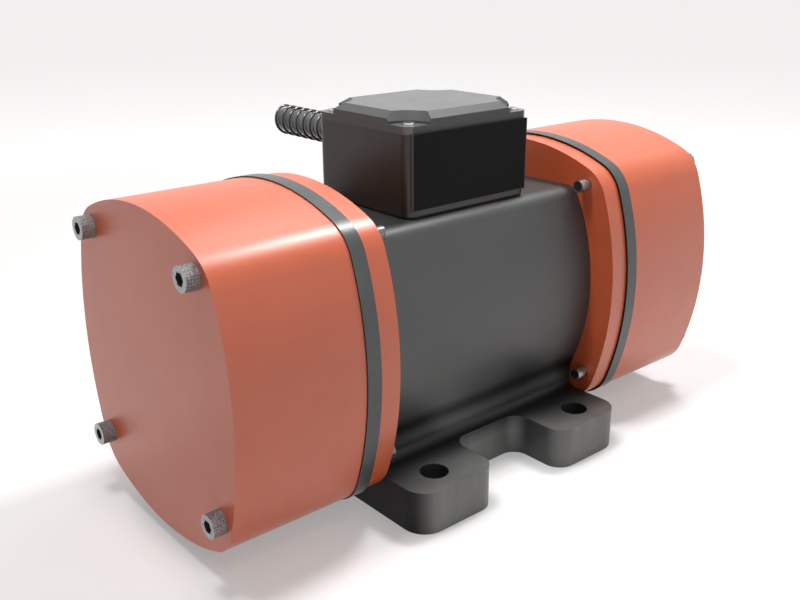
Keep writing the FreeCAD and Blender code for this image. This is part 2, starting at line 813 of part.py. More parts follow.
def make_rotor():
    body = new_body("rotor_core")
    sketch = new_sketch(body, "YZ_Plane", -STATOR_HALF_LENGTH)
    circle(sketch, 0.0, 0.0, ROTOR_RADIUS)
    circle(sketch, 0.0, 0.0, S.shaft_core_radius + S.fit)
    pad(body, sketch, STATOR_HALF_LENGTH * 2.0)
    sketch = new_sketch(body, "YZ_Plane")
    bar_outline(sketch, 0.0)
    slot = pocket(body, sketch, (STATOR_HALF_LENGTH + S.overlap) * 2.0, both=True)
    around(body, slot, S.bar_count)

    body = new_body("rotor_cage")
    sketch = new_sketch(body, "YZ_Plane")
    bar_outline(sketch, S.fit)
    bar = pad(body, sketch, (STATOR_HALF_LENGTH + S.overlap) * 2.0, both=True)
    around(body, bar, S.bar_count)
    for side in (-1, 1):
        sketch = new_sketch(body, "XZ_Plane")
        polygon(sketch, ring_profile(
            STATOR_HALF_LENGTH * side, (STATOR_HALF_LENGTH + S.end_ring) * side,
            S.bar_inner, ROTOR_RADIUS - S.bar_skin))
        revolve(body, sketch)

    body = new_body("rotor_shaft")
    sketch = new_sketch(body, "XZ_Plane")
    chamfer = S.shaft_chamfer
    half = [
        (BEARING_START, S.shaft_core_radius),
        (BEARING_START, S.shaft_bearing_radius),
        (WEIGHT_START, S.shaft_bearing_radius),
        (WEIGHT_START, S.shaft_weight_radius),
        (NUT_START, S.shaft_weight_radius),
        (NUT_START, S.shaft_thread_radius),
        (SHAFT_END - chamfer, S.shaft_thread_radius),
        (SHAFT_END, S.shaft_thread_radius - chamfer),
        (SHAFT_END, 0.0),
    ]
    mirrored = [(-x, radius) for x, radius in reversed(half)]
    polygon(sketch, half + mirrored)
    revolve(body, sketch)
    # open keyway under each pair of weights
    sketch = new_sketch(body, "XY_Plane", KEY_BOTTOM)
    length = NUT_START - WEIGHT_START
    for side in (-1, 1):
        block(sketch, length / 2.0, S.key_width / 2.0, None, ((WEIGHT_START + length / 2.0) * side, 0.0))
    pocket(body, sketch, S.key_depth * 2.0, reverse=True)


def bar_outline(sketch, gap):
    """Cross-section of one cage bar."""
    half = S.bar_half_width - gap
    inner = S.bar_inner + gap
    outer = ROTOR_RADIUS - S.bar_skin - gap
    polygon(sketch, [(-half, inner), (half, inner), (half, outer), (-half, outer)])


# Bearings, flanges and covers, once for each end


def ball_sketch(body, radius):
    """A half disc on the ball's own axis."""
    sketch = new_sketch(body, "XZ_Plane", 0.0, PITCH_RADIUS)
    half_disc(sketch, BEARING_MIDDLE, radius)
    return sketch


def half_disc(sketch, x, radius):
    """A half disc that stands on the sketch's horizontal axis."""
    centre = as_size(x)
    radius = as_size(radius)
    base = Part.Circle(point(centre, 0.0), FreeCAD.Vector(0, 0, 1), radius.number)
    arc = sketch.addGeometry(Part.ArcOfCircle(base, 0, math.pi))
    line = sketch.addGeometry(Part.LineSegment(point(centre - radius, 0.0), point(centre + radius, 0.0)))
    sketch.addConstraint(Sketcher.Constraint("Coincident", arc, 2, line, 1))
    sketch.addConstraint(Sketcher.Constraint("Coincident", arc, 1, line, 2))
    sketch.addConstraint(Sketcher.Constraint("PointOnObject", line, 1, -1))
    sketch.addConstraint(Sketcher.Constraint("PointOnObject", line, 2, -1))
    pin(sketch, arc, 3, centre, 0.0)
    hold(sketch, "Radius", (arc,), radius)


def race_groove(body):
    """Cuts the ball groove all round a race."""
    sketch = new_sketch(body, "XZ_Plane")
    circle(sketch, BEARING_MIDDLE, PITCH_RADIUS, S.ball_radius + S.ball_play)
    revolve(body, sketch, groove=True)


def make_bearing(side, turned):
    body = turned_part(side + "_outer_race", ring_profile(
        BEARING_START, BEARING_END, OUTER_RACE_INSIDE, S.bearing_outer - S.fit), turned)
    race_groove(body)
    body = turned_part(side + "_inner_race", ring_profile(
        BEARING_START, BEARING_END, S.shaft_bearing_radius + S.fit, INNER_RACE_OUTSIDE), turned)
    race_groove(body)

    body = turned_part(side + "_ball_cage", ring_profile(
        BEARING_MIDDLE - S.cage_half_width, BEARING_MIDDLE + S.cage_half_width,
        PITCH_RADIUS - S.cage_half_height, PITCH_RADIUS + S.cage_half_height), turned)
    seat = revolve(body, ball_sketch(body, S.ball_radius + S.ball_play), groove=True)
    around(body, seat, S.ball_count)

    body = new_body(side + "_bearing_balls", turned)
    ball = revolve(body, ball_sketch(body, S.ball_radius))
    around(body, ball, S.ball_count)


def make_flange(side, turned):
    body = new_body(side + "_bearing_flange", turned)
    sketch = new_sketch(body, "YZ_Plane", S.housing_half_length)
    bulged(sketch, S.flange_inset)
    pad(body, sketch, S.flange_thickness)
    # spigot in the housing bore and boss around the bearing
    sketch = new_sketch(body, "YZ_Plane", S.housing_half_length)
    circle(sketch, 0.0, 0.0, STATOR_SEAT - S.fit)
    pad(body, sketch, S.spigot_length, reverse=True)
    boss_start = BEARING_START - S.shoulder_thickness
    sketch = new_sketch(body, "YZ_Plane", S.housing_half_length)
    circle(sketch, 0.0, 0.0, S.bearing_outer + S.boss_wall)
    pad(body, sketch, S.housing_half_length - boss_start, reverse=True)
    # bearing seat and the shoulder behind it
    sketch = new_sketch(body, "YZ_Plane", BAND_START)
    circle(sketch, 0.0, 0.0, S.bearing_outer)
    pocket(body, sketch, BAND_START - BEARING_START)
    sketch = new_sketch(body, "YZ_Plane", BAND_START)
    circle(sketch, 0.0, 0.0, S.bearing_outer - S.shoulder_height)
    pocket(body, sketch, BAND_START - boss_start + S.overlap)
    # threads for the cover screws, which pass right through
    sketch = new_sketch(body, "YZ_Plane", BAND_START)
    for y, z in COVER_SCREWS:
        circle(sketch, y, z, S.cover_screw_radius + S.fit)
    pocket(body, sketch, S.flange_thickness + S.overlap)
    # counterbored holes for the flange screws
    sketch = new_sketch(body, "YZ_Plane", BAND_START)
    for y, z in FLANGE_SCREWS:
        circle(sketch, y, z, S.flange_screw_radius + S.fit)
    pocket(body, sketch, S.flange_thickness + S.overlap)
    sketch = new_sketch(body, "YZ_Plane", BAND_START)
    for y, z in FLANGE_SCREWS:
        circle(sketch, y, z, S.flange_screw_head_radius + S.fit)
    pocket(body, sketch, S.flange_screw_head + S.fit)
    # threads for the bearing cap
    sketch = new_sketch(body, "YZ_Plane", BAND_START)
    for y, z in cap_screw_places():
        circle(sketch, y, z, S.cap_screw_radius + S.fit)
    pocket(body, sketch, S.cap_screw_length - S.cap_thickness + S.overlap)

    body = new_body(side + "_flange_screws", turned)
    seat = BAND_START - S.flange_screw_head - S.fit
    shank = seat - S.housing_half_length + S.flange_screw_depth
    socket_screws(body, FLANGE_SCREWS, seat, S.flange_screw_radius, S.flange_screw_head_radius,
                  S.flange_screw_head, shank, S.flange_screw_socket, S.flange_screw_socket_depth)


def cap_screw_places():
    """Four bearing cap screws, above, below and at the sides."""
    reach = S.bearing_outer + S.cap_screw_offset
    return [(reach, 0.0), (0.0, reach), (-reach, 0.0), (0.0, -reach)]


def socket_screws(body, places, seat, radius, head_radius, head, shank, socket, socket_depth):
    """Socket head screws along X: head beyond seat, shank back towards the middle."""
    sketch = new_sketch(body, "YZ_Plane", seat)
    for y, z in places:
        circle(sketch, y, z, head_radius)
    pad(body, sketch, head)
    sketch = new_sketch(body, "YZ_Plane", seat)
    for y, z in places:
        circle(sketch, y, z, radius)
    pad(body, sketch, shank, reverse=True)
    sketch = new_sketch(body, "YZ_Plane", seat + head)
    for y, z in places:
        hexagon(sketch, y, z, socket)
    pocket(body, sketch, socket_depth)


def make_bearing_cap(side, turned):
    outer_face = BAND_START + S.cap_thickness
    body = turned_part(side + "_bearing_cap", ring_profile(
        BAND_START, outer_face, SPACER_OUTER + S.cap_play, S.bearing_outer + S.cap_margin), turned)
    # register that holds the outer race in its seat
    sketch = new_sketch(body, "XZ_Plane")
    polygon(sketch, ring_profile(BEARING_END, BAND_START + S.overlap, OUTER_RACE_INSIDE + S.cap_register_gap,
                                 S.bearing_outer - S.fit * 2.0))
    revolve(body, sketch)
    sketch = new_sketch(body, "YZ_Plane", outer_face)
    for y, z in cap_screw_places():
        circle(sketch, y, z, S.cap_screw_radius + S.fit)
    pocket(body, sketch, S.cap_thickness + S.overlap)
    sketch = new_sketch(body, "YZ_Plane", outer_face)
    for y, z in cap_screw_places():
        circle(sketch, y, z, S.cap_screw_head_radius + S.fit)
    pocket(body, sketch, S.cap_screw_recess)

    body = new_body(side + "_cap_screws", turned)
    socket_screws(body, cap_screw_places(), outer_face - S.cap_screw_recess, S.cap_screw_radius,
                  S.cap_screw_head_radius, S.cap_screw_head, S.cap_screw_length - S.cap_screw_recess,
                  S.cap_screw_socket, S.cap_screw_socket_depth)


def make_band(side, turned):
    """Sealing band between flange and weight cover, a little proud of both."""
    body = new_body(side + "_cover_band", turned)
    sketch = new_sketch(body, "YZ_Plane", BAND_START)
    bulged(sketch, -S.band_proud)
    bulged(sketch, S.band_width)
    pad(body, sketch, S.band_thickness)
    sketch = new_sketch(body, "YZ_Plane", COVER_START)
    for y, z in COVER_SCREWS:
        circle(sketch, y, z, S.cover_screw_radius + S.screw_play)
    pocket(body, sketch, S.band_thickness + S.overlap)


def make_cover(side, turned):
    """Weight cover: a deep cup with a screw column in each corner."""
    body = new_body(side + "_weight_cover", turned)
    sketch = new_sketch(body, "YZ_Plane", COVER_START)
    bulged(sketch)
    pad(body, sketch, COVER_DEPTH)
    sketch = new_sketch(body, "YZ_Plane", COVER_START)
    bulged(sketch, S.cover_wall)
    pocket(body, sketch, COVER_DEPTH - S.cover_end_wall, reverse=True)
    sketch = new_sketch(body, "YZ_Plane", COVER_START)
    for y, z in COVER_SCREWS:
        circle(sketch, y, z, S.column_radius)
    pad(body, sketch, COVER_DEPTH - S.cover_end_wall / 2.0)
    sketch = new_sketch(body, "YZ_Plane", COVER_START)
    for y, z in COVER_SCREWS:
        circle(sketch, y, z, S.cover_screw_radius + S.screw_play)
    pocket(body, sketch, COVER_DEPTH + S.overlap, reverse=True)

    body = new_body(side + "_cover_screws", turned)
    shank = COVER_END - S.housing_half_length + S.cover_screw_tail
    socket_screws(body, COVER_SCREWS, COVER_END, S.cover_screw_radius, S.cover_screw_head_radius,
                  S.cover_screw_head, shank, S.cover_screw_socket, S.cover_screw_socket_depth)


# Unbalance weights, once for each end


def half_moon(sketch):
    """Half disc below the shaft with a round hub above it."""
    outer = S.weight_radius
    hub = WEIGHT_HUB
    z = FreeCAD.Vector(0, 0, 1)
    centre = FreeCAD.Vector(0, 0, 0)
    low = sketch.addGeometry(Part.ArcOfCircle(Part.Circle(centre, z, outer.number), math.pi, 2 * math.pi))
    right = sketch.addGeometry(Part.LineSegment(point(outer, 0.0), point(hub, 0.0)))
    high = sketch.addGeometry(Part.ArcOfCircle(Part.Circle(centre, z, hub.number), 0, math.pi))
    left = sketch.addGeometry(Part.LineSegment(point(-hub, 0.0), point(-outer, 0.0)))
    sketch.addConstraint(Sketcher.Constraint("Coincident", low, 2, right, 1))
    sketch.addConstraint(Sketcher.Constraint("Coincident", right, 2, high, 1))
    sketch.addConstraint(Sketcher.Constraint("Coincident", high, 2, left, 1))
    sketch.addConstraint(Sketcher.Constraint("Coincident", left, 2, low, 1))
    for index in (low, high):
        sketch.addConstraint(Sketcher.Constraint("Coincident", index, 3, -1, 1))
    for index in (right, left):
        sketch.addConstraint(Sketcher.Constraint("PointOnObject", index, 1, -1))
    hold(sketch, "Radius", (low,), outer)
    hold(sketch, "Radius", (high,), hub)


def make_weights(side, turned):
    turned_part(side + "_spacer_sleeve", ring_profile(
        BEARING_END, WEIGHT_START, S.shaft_bearing_radius + S.fit, SPACER_OUTER), turned)

    body = new_body(side + "_fixed_weight", turned)
    sketch = new_sketch(body, "YZ_Plane", WEIGHT_START)
    half_moon(sketch)
    pad(body, sketch, S.weight_thickness)
    sketch = new_sketch(body, "YZ_Plane", WEIGHT_START)
    circle(sketch, 0.0, 0.0, S.shaft_weight_radius + S.fit)
    pocket(body, sketch, S.weight_thickness + S.overlap, reverse=True)
    sketch = new_sketch(body, "YZ_Plane", WEIGHT_START)
    block(sketch, S.key_width / 2.0, S.key_height / 2.0, None, (0.0, KEY_BOTTOM + S.key_height / 2.0))
    pocket(body, sketch, S.weight_thickness + S.overlap, reverse=True)

    body = new_body(side + "_weight_key", turned)
    sketch = new_sketch(body, "XY_Plane", KEY_BOTTOM)
    block(sketch, S.weight_thickness / 2.0, S.key_width / 2.0, S.key_width / 2.5,
          (WEIGHT_START + S.weight_thickness / 2.0, 0.0))
    pad(body, sketch, S.key_height)

    body = new_body(side + "_adjustable_weight", turned)
    sketch = new_sketch(body, "YZ_Plane", SECOND_START)
    half_moon(sketch)
    pad(body, sketch, S.weight_thickness)
    # clamp ears above the hub
    sketch = new_sketch(body, "YZ_Plane", SECOND_START)
    ear_bottom = WEIGHT_HUB / 2.0
    block(sketch, S.clamp_half_width, (CLAMP_TOP - ear_bottom) / 2.0, None,
          (0.0, (CLAMP_TOP + ear_bottom) / 2.0))
    pad(body, sketch, S.weight_thickness)
    sketch = new_sketch(body, "YZ_Plane", SECOND_START)
    circle(sketch, 0.0, 0.0, S.shaft_weight_radius + S.fit)
    pocket(body, sketch, S.weight_thickness + S.overlap, reverse=True)
    sketch = new_sketch(body, "YZ_Plane", SECOND_START)
    block(sketch, S.clamp_slit / 2.0, CLAMP_TOP / 2.0, None, (0.0, CLAMP_TOP / 2.0 + S.overlap))
    pocket(body, sketch, S.weight_thickness + S.overlap, reverse=True)
    # cross hole for the clamp bolt
    bolt_x = SECOND_START + S.weight_thickness / 2.0
    sketch = new_sketch(body, "XZ_Plane", -S.clamp_half_width - S.overlap)
    circle(sketch, bolt_x, CLAMP_BOLT_Z, S.clamp_bolt_radius + S.fit)
    pocket(body, sketch, (S.clamp_half_width + S.overlap) * 2.0, reverse=True)

    body = new_body(side + "_clamp_bolt", turned)
    sketch = new_sketch(body, "XZ_Plane", S.clamp_half_width)
    circle(sketch, bolt_x, CLAMP_BOLT_Z, S.clamp_head_radius)
    pad(body, sketch, S.clamp_head)
    sketch = new_sketch(body, "XZ_Plane", S.clamp_half_width)
    circle(sketch, bolt_x, CLAMP_BOLT_Z, S.clamp_bolt_radius)
    pad(body, sketch, S.clamp_half_width * 2.0, reverse=True)
    sketch = new_sketch(body, "XZ_Plane", S.clamp_half_width + S.clamp_head)
    hexagon(sketch, bolt_x, CLAMP_BOLT_Z, S.clamp_bolt_socket)
    pocket(body, sketch, S.clamp_bolt_socket_depth)

    body = turned_part(side + "_scale_disc", ring_profile(
        SCALE_START, NUT_START, S.shaft_weight_radius + S.fit, S.shaft_weight_radius + S.scale_width), turned)
    # tongue that keeps the disc from turning on the shaft
    sketch = new_sketch(body, "YZ_Plane", SCALE_START)
    tongue_bottom = KEY_BOTTOM + S.tongue_lift
    tongue_top = S.shaft_weight_radius + S.overlap
    block(sketch, S.key_width / 2.0 - S.tongue_play, (tongue_top - tongue_bottom) / 2.0, None,
          (0.0, (tongue_top + tongue_bottom) / 2.0))
    pad(body, sketch, S.scale_thickness)

    body = new_body(side + "_shaft_nut", turned)
    sketch = new_sketch(body, "YZ_Plane", NUT_START)
    hexagon(sketch, 0.0, 0.0, S.nut_flats)
    circle(sketch, 0.0, 0.0, S.shaft_thread_radius + S.fit)
    pad(body, sketch, S.nut_thickness)


# Terminal box


def screws_down(body, places, seat, radius, head_radius, head, shank, socket):
    """Screws along Z: head above seat, shank below."""
    sketch = new_sketch(body, "XY_Plane", seat)
    for x, y in places:
        circle(sketch, x, y, head_radius)
    pad(body, sketch, head)
    sketch = new_sketch(body, "XY_Plane", seat)
    for x, y in places:
        circle(sketch, x, y, radius)
    pad(body, sketch, shank, reverse=True)
    sketch = new_sketch(body, "XY_Plane", seat + head)
    for x, y in places:
        hexagon(sketch, x, y, socket)
    pocket(body, sketch, head / 2.0)


def make_terminal_box():
    body = new_body("box_gasket")
    sketch = new_sketch(body, "XY_Plane", S.barrel_half_height)
    block(sketch, S.box_half_length - S.box_gasket_inset, S.box_half_width - S.box_gasket_inset, S.box_corner)
    pad(body, sketch, S.box_gasket)
    sketch = new_sketch(body, "XY_Plane", BOX_BOTTOM)
    circle(sketch, 0.0, S.lead_hole_y, S.lead_hole_radius)
    for x, y in BOX_SCREWS:
        circle(sketch, x, y, S.box_screw_radius + S.screw_play)
    pocket(body, sketch, S.box_gasket + S.overlap)

    body = new_body("terminal_box")
    sketch = new_sketch(body, "XY_Plane", BOX_BOTTOM)
    block(sketch, S.box_half_length, S.box_half_width, S.box_corner)
    pad(body, sketch, S.box_height)
    sketch = new_sketch(body, "XY_Plane", BOX_TOP)
    block(sketch, S.box_half_length - S.box_wall, S.box_half_width - S.box_wall, S.box_corner / 2.0)
    pocket(body, sketch, S.box_height - S.box_floor)
    # corner columns that take the lid screws
    sketch = new_sketch(body, "XY_Plane", BOX_BOTTOM)
    for x, y in LID_SCREWS:
        circle(sketch, x, y, S.lid_column_radius)
    pad(body, sketch, S.box_height)
    sketch = new_sketch(body, "XY_Plane", BOX_TOP)
    for x, y in LID_SCREWS:
        circle(sketch, x, y, S.lid_screw_radius + S.fit)
    pocket(body, sketch, S.lid_thread_depth)
    # passage for the leads, holes for the box screws and the earth thread
    sketch = new_sketch(body, "XY_Plane", BOX_FLOOR)
    circle(sketch, 0.0, S.lead_hole_y, S.lead_hole_radius)
    for x, y in BOX_SCREWS:
        circle(sketch, x, y, S.box_screw_radius + S.screw_play)
    pocket(body, sketch, S.box_floor + S.overlap)
    sketch = new_sketch(body, "XY_Plane", BOX_FLOOR)
    circle(sketch, *EARTH_SCREW, S.earth_screw_radius + S.fit)
    pocket(body, sketch, S.earth_screw_depth)
    # cable entry through the rear wall
    sketch = new_sketch(body, "XZ_Plane", -S.box_half_width - S.overlap)
    circle(sketch, 0.0, GLAND_HEIGHT, S.gland_thread_radius + S.fit)
    pocket(body, sketch, S.box_wall + S.overlap * 2.0, reverse=True)

    body = new_body("box_screws")
    screws_down(body, BOX_SCREWS, BOX_FLOOR, S.box_screw_radius, S.box_screw_head_radius,
                S.box_screw_head, S.box_screw_length, S.box_screw_socket)

    body = new_body("lead_bushing")
    bore = S.lead_hole_radius - S.bushing_wall
    sketch = new_sketch(body, "XY_Plane", BOX_FLOOR)
    circle(sketch, 0.0, S.lead_hole_y, S.lead_hole_radius + S.bushing_rim)
    circle(sketch, 0.0, S.lead_hole_y, bore)
    pad(body, sketch, S.bushing_rim_thickness)
    sketch = new_sketch(body, "XY_Plane", BOX_FLOOR)
    circle(sketch, 0.0, S.lead_hole_y, S.lead_hole_radius - S.fit * 2.0)
    circle(sketch, 0.0, S.lead_hole_y, bore)
    pad(body, sketch, S.bushing_length, reverse=True)

    body = new_body("box_front_plate")
    sketch = new_sketch(body, "XZ_Plane", S.box_half_width)
    half = S.plate_height / 2.0
    block(sketch, S.plate_half_length, half, None, (0.0, BOX_TOP - half))
    pad(body, sketch, S.plate_thickness)


def notched_outline(sketch):
    """The lid's plan with a round scallop cut out of each corner."""
    half_x = S.box_half_length
    half_y = S.box_half_width
    scallop = S.lid_scallop
    first = sketch.GeometryCount
    places = []
    for sx, sy in ((-1, -1), (1, -1), (1, 1), (-1, 1)):
        along_x = (half_x * sx - scallop * sx, half_y * sy)
        along_y = (half_x * sx, half_y * sy - scallop * sy)
        places.append((sx, sy, along_x, along_y))
    edges = [
        (places[0][2], places[1][2]), (places[1][3], places[2][3]),
        (places[2][2], places[3][2]), (places[3][3], places[0][3]),
    ]
    for start, end in edges:
        index = sketch.addGeometry(Part.LineSegment(point(*start), point(*end)))
        pin(sketch, index, 1, *start)
        pin(sketch, index, 2, *end)
    for i, (sx, sy, along_x, along_y) in enumerate(places):
        corner = point(half_x * sx, half_y * sy)
        start = math.atan2(0.0, -sx) if sx * sy > 0 else math.atan2(-sy, 0.0)
        base = Part.Circle(corner, FreeCAD.Vector(0, 0, 1), scallop.number)
        index = sketch.addGeometry(Part.ArcOfCircle(base, start, start + math.pi / 2))
        hold(sketch, "Radius", (index,), scallop)
        for line, position, place in ((first + i, 1, edges[i][0]), (first + (i - 1) % 4, 2, edges[i - 1][1])):
            gap = (sketch.getPoint(index, 1) - point(*place)).Length
            end = 1 if gap < 1e-6 else 2
            sketch.addConstraint(Sketcher.Constraint("Coincident", index, end, line, position))


def make_lid():
    body = new_body("terminal_box_lid")
    sketch = new_sketch(body, "XY_Plane", BOX_TOP)
    block(sketch, S.box_half_length, S.box_half_width, S.box_corner)
    pad(body, sketch, S.lid_rim)
    sketch = new_sketch(body, "XY_Plane", LID_FLOOR)
    notched_outline(sketch)
    top = pad(body, sketch, S.lid_step + S.lid_bevel_height)
    doc.recompute()
    # bevel along the whole upper edge, scallops included
    height = LID_FLOOR.number + S.lid_step.number + S.lid_bevel_height.number
    picked = edges_where(top.Shape, lambda p: abs(p.z - height) < 1e-6)
    bevel = body.newObject("PartDesign::Chamfer", "terminal_box_lid_bevel")
    bevel.Base = (top, picked)
    bevel.ChamferType = "Two distances"
    bevel.Size = S.lid_bevel_height.number
    bevel.Size2 = S.lid_bevel_width.number
    bevel.setExpression("Size", S.lid_bevel_height.text)
    bevel.setExpression("Size2", S.lid_bevel_width.text)
    # hollow underside, cut off at the corners below the scallops
    sketch = new_sketch(body, "XY_Plane", BOX_TOP)
    reach_x = S.box_half_length - S.box_wall - S.lid_lip
    reach_y = S.box_half_width - S.box_wall - S.lid_lip
    cut = S.lid_scallop + S.lid_lip
    polygon(sketch, [
        (-reach_x + cut, -reach_y), (reach_x - cut, -reach_y),
        (reach_x, -reach_y + cut), (reach_x, reach_y - cut),
        (reach_x - cut, reach_y), (-reach_x + cut, reach_y),
        (-reach_x, reach_y - cut), (-reach_x, -reach_y + cut),
    ])
    pocket(body, sketch, S.lid_rim + S.lid_step + S.lid_bevel_height - S.lid_roof, reverse=True)
    sketch = new_sketch(body, "XY_Plane", LID_FLOOR)
    for x, y in LID_SCREWS:
        circle(sketch, x, y, S.lid_screw_radius + S.fit)
    pocket(body, sketch, S.lid_rim + S.overlap)
    # groove for the lid gasket
    sketch = new_sketch(body, "XY_Plane", BOX_TOP)
    gasket_outline(sketch)
    pocket(body, sketch, S.lid_gasket, reverse=True)

    body = new_body("lid_gasket")
    sketch = new_sketch(body, "XY_Plane", BOX_TOP)
    gasket_outline(sketch)
    pad(body, sketch, S.lid_gasket)

    body = new_body("lid_screws")
    screws_down(body, LID_SCREWS, LID_FLOOR, S.lid_screw_radius, S.lid_screw_head_radius, S.lid_screw_head,
                S.lid_rim + S.lid_screw_depth, S.lid_screw_socket)


def gasket_outline(sketch):
    """Ring that follows the box wall inside the lid screws."""
    for inset in (S.lid_gasket_inset, S.lid_gasket_inset + S.lid_gasket_width):
        block(sketch, S.box_half_length - inset, S.box_half_width - inset, S.box_corner - inset)


def make_terminals():
    middle = S.lead_hole_y - S.lead_hole_radius - S.bushing_rim - S.terminal_gap - S.terminal_half_width
    body = new_body("terminal_block")
    sketch = new_sketch(body, "XY_Plane", BOX_FLOOR)
    block(sketch, TERMINAL_HALF_LENGTH, S.terminal_half_width, S.terminal_corner, (0.0, middle))
    pad(body, sketch, S.terminal_height)

    body = new_body("terminal_studs")
    places = [(S.stud_pitch * i, middle + S.stud_row * j) for i in (-1, 0, 1) for j in (-1, 1)]
    sketch = new_sketch(body, "XY_Plane", BOX_FLOOR + S.terminal_height)
    for x, y in places:
        hexagon(sketch, x, y, S.stud_nut_flats)
    pad(body, sketch, S.stud_nut)
    sketch = new_sketch(body, "XY_Plane", BOX_FLOOR + S.terminal_height)
    for x, y in places:
        circle(sketch, x, y, S.stud_radius)
    pad(body, sketch, S.stud_length)

    body = new_body("earth_screw")
    screws_down(body, [EARTH_SCREW], BOX_FLOOR, S.earth_screw_radius, S.earth_screw_head_radius,
                S.earth_screw_head, S.earth_screw_depth, S.earth_screw_socket)


# Cable entry behind the box, along +Y


def cable_ring(body, start, length, bore, outer=None, flats=None):
    """A round or hexagonal ring about the cable axis, from start towards +Y."""
    sketch = new_sketch(body, "XZ_Plane", -start)
    if flats is None:
        circle(sketch, 0.0, GLAND_HEIGHT, outer)
    else:
        hexagon(sketch, 0.0, GLAND_HEIGHT, flats)
    circle(sketch, 0.0, GLAND_HEIGHT, bore)
    pad(body, sketch, length, reverse=True)


def make_gland():
    wall = S.box_half_width
    thread_length = S.box_wall + S.gland_thread_length
    nut_start = wall + S.gland_flange
    nut_end = nut_start + S.gland_nut_length
    bore = S.sleeve_radius + S.fit

    body = new_body("gland_body")
    cable_ring(body, wall, S.gland_flange, bore, flats=S.gland_flats)
    cable_ring(body, wall - thread_length, thread_length, bore, outer=S.gland_thread_radius)

    body = new_body("gland_locknut")
    cable_ring(body, wall - S.box_wall - S.gland_locknut_thickness, S.gland_locknut_thickness,
               S.gland_thread_radius + S.fit, flats=S.gland_flats)

    # nut with a round nose that the bend protector is wound on
    body = new_body("gland_nut")
    cable_ring(body, nut_start, S.gland_nut_length, bore, flats=S.gland_flats)
    cable_ring(body, nut_end, S.gland_nose_length, bore,
               outer=S.spring_radius - S.spring_wire - S.fit)

    body = new_body("cable_sleeve")
    cable_ring(body, wall, nut_end - wall + S.spring_pitch * S.spring_turns,
               S.sleeve_bore, outer=S.sleeve_radius)
    make_spring(nut_end)


def make_spring(start):
    """Bend protector: an open coil wound on the nose of the gland nut."""
    pitch = S.spring_pitch.number
    turns = S.spring_turns.number
    radius = S.spring_radius.number
    wire = S.spring_wire.number
    helix = Part.makeHelix(pitch, pitch * turns, radius)
    section = Part.Wire([Part.makeCircle(wire, FreeCAD.Vector(radius, 0, 0), FreeCAD.Vector(0, 1, 0))])
    coil = Part.Wire(helix.Edges).makePipeShell([section], True, True)
    spring = doc.addObject("Part::Feature", "strain_relief_spring")
    spring.Label = "strain_relief_spring"
    spring.Shape = coil
    turn = FreeCAD.Rotation(FreeCAD.Vector(1, 0, 0), -90)
    spring.Placement = FreeCAD.Placement(
        FreeCAD.Vector(0, start.number + wire, S.axis_height.number + GLAND_HEIGHT.number), turn)
    NODES.append(spring)


# Assembly


make_housing()
make_stator()
make_rotor()
for name, is_turned in (("right", False), ("left", True)):
    make_flange(name, is_turned)
    make_bearing(name, is_turned)
    make_bearing_cap(name, is_turned)
    make_band(name, is_turned)
    make_cover(name, is_turned)
    make_weights(name, is_turned)
make_terminal_box()
make_lid()
make_terminals()
make_gland()
doc.recompute()

# Checks, then one file for each piece

for item in doc.Objects:
    if "Invalid" in item.State or "Error" in item.State:
        raise ValueError(item.Label + " failed: " + str(item.State))
os.makedirs(OUT, exist_ok=True)
for node in NODES:
    if node.Shape.isNull() or not node.Shape.isValid() or node.Shape.Volume <= 0:
        raise ValueError(node.Label + " has no sound shape")
    node.Shape.exportStep(os.path.join(OUT, node.Label + ".step"))
print(len(NODES), "pieces")
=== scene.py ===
import json
import math

import bmesh
import bpy
from mathutils import Matrix, Vector


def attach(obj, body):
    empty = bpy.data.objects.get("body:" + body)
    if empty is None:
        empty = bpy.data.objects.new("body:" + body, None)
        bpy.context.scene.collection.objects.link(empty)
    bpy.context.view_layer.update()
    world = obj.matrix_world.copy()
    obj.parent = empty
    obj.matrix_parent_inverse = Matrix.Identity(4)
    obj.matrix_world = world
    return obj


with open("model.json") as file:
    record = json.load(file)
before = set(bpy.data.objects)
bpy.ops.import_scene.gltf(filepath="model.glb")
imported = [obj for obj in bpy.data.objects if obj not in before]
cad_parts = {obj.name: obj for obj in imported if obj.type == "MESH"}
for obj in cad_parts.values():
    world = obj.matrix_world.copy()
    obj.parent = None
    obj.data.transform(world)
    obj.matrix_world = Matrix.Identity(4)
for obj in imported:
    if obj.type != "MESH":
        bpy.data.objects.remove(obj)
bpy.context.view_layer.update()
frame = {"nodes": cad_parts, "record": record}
NODES = frame["nodes"]

# Photograph's camera: place in metres, angles in radians, focal length and width of the picture in pixels
CAMERA_PLACE = Vector((-0.2929, -0.3303, 0.2315))
CAMERA_YAW = 0.7003
CAMERA_PITCH = 0.3466
CAMERA_ROLL = 0.0064
CAMERA_NEAR = 0.01
FOCAL_PIXELS = 944.93
PICTURE_WIDTH = 800.0
SENSOR_WIDTH = 36.0

# Lamps: place and size in metres, power in watts, and the point that they face
LAMPS = [
    ("right_box", (0.29, -0.02, 0.70), (0.14, 0.14), 3.3),
    ("left_box", (-0.165, 0.005, 0.71), (0.12, 0.19), 2.6),
    ("rear_strip", (0.22, 0.27, 0.75), (0.15, 0.35), 0.5),
    ("front_fill", (0.30, -0.95, 0.40), (0.6, 0.5), 0.6),
]
LAMP_TARGET = (0.0, 0.0, 0.06)
# Surround: brightness that lights the motor, and brightness that the camera and mirrors see
SKY_LIGHT = 0.31
SKY_SEEN = 0.90
# Floor: sizes in metres, its colour, the tint of its extra brightness and the reach of the painted contact
# shadow
FLOOR_HALF_SIZE = 9.0
FLOOR_DROP = 0.0002
FLOOR_COLOR = (0.62, 0.61, 0.605, 1.0)
FLOOR_TINT = (1.0, 0.985, 0.98, 1.0)
CONTACT_REACH = 0.012
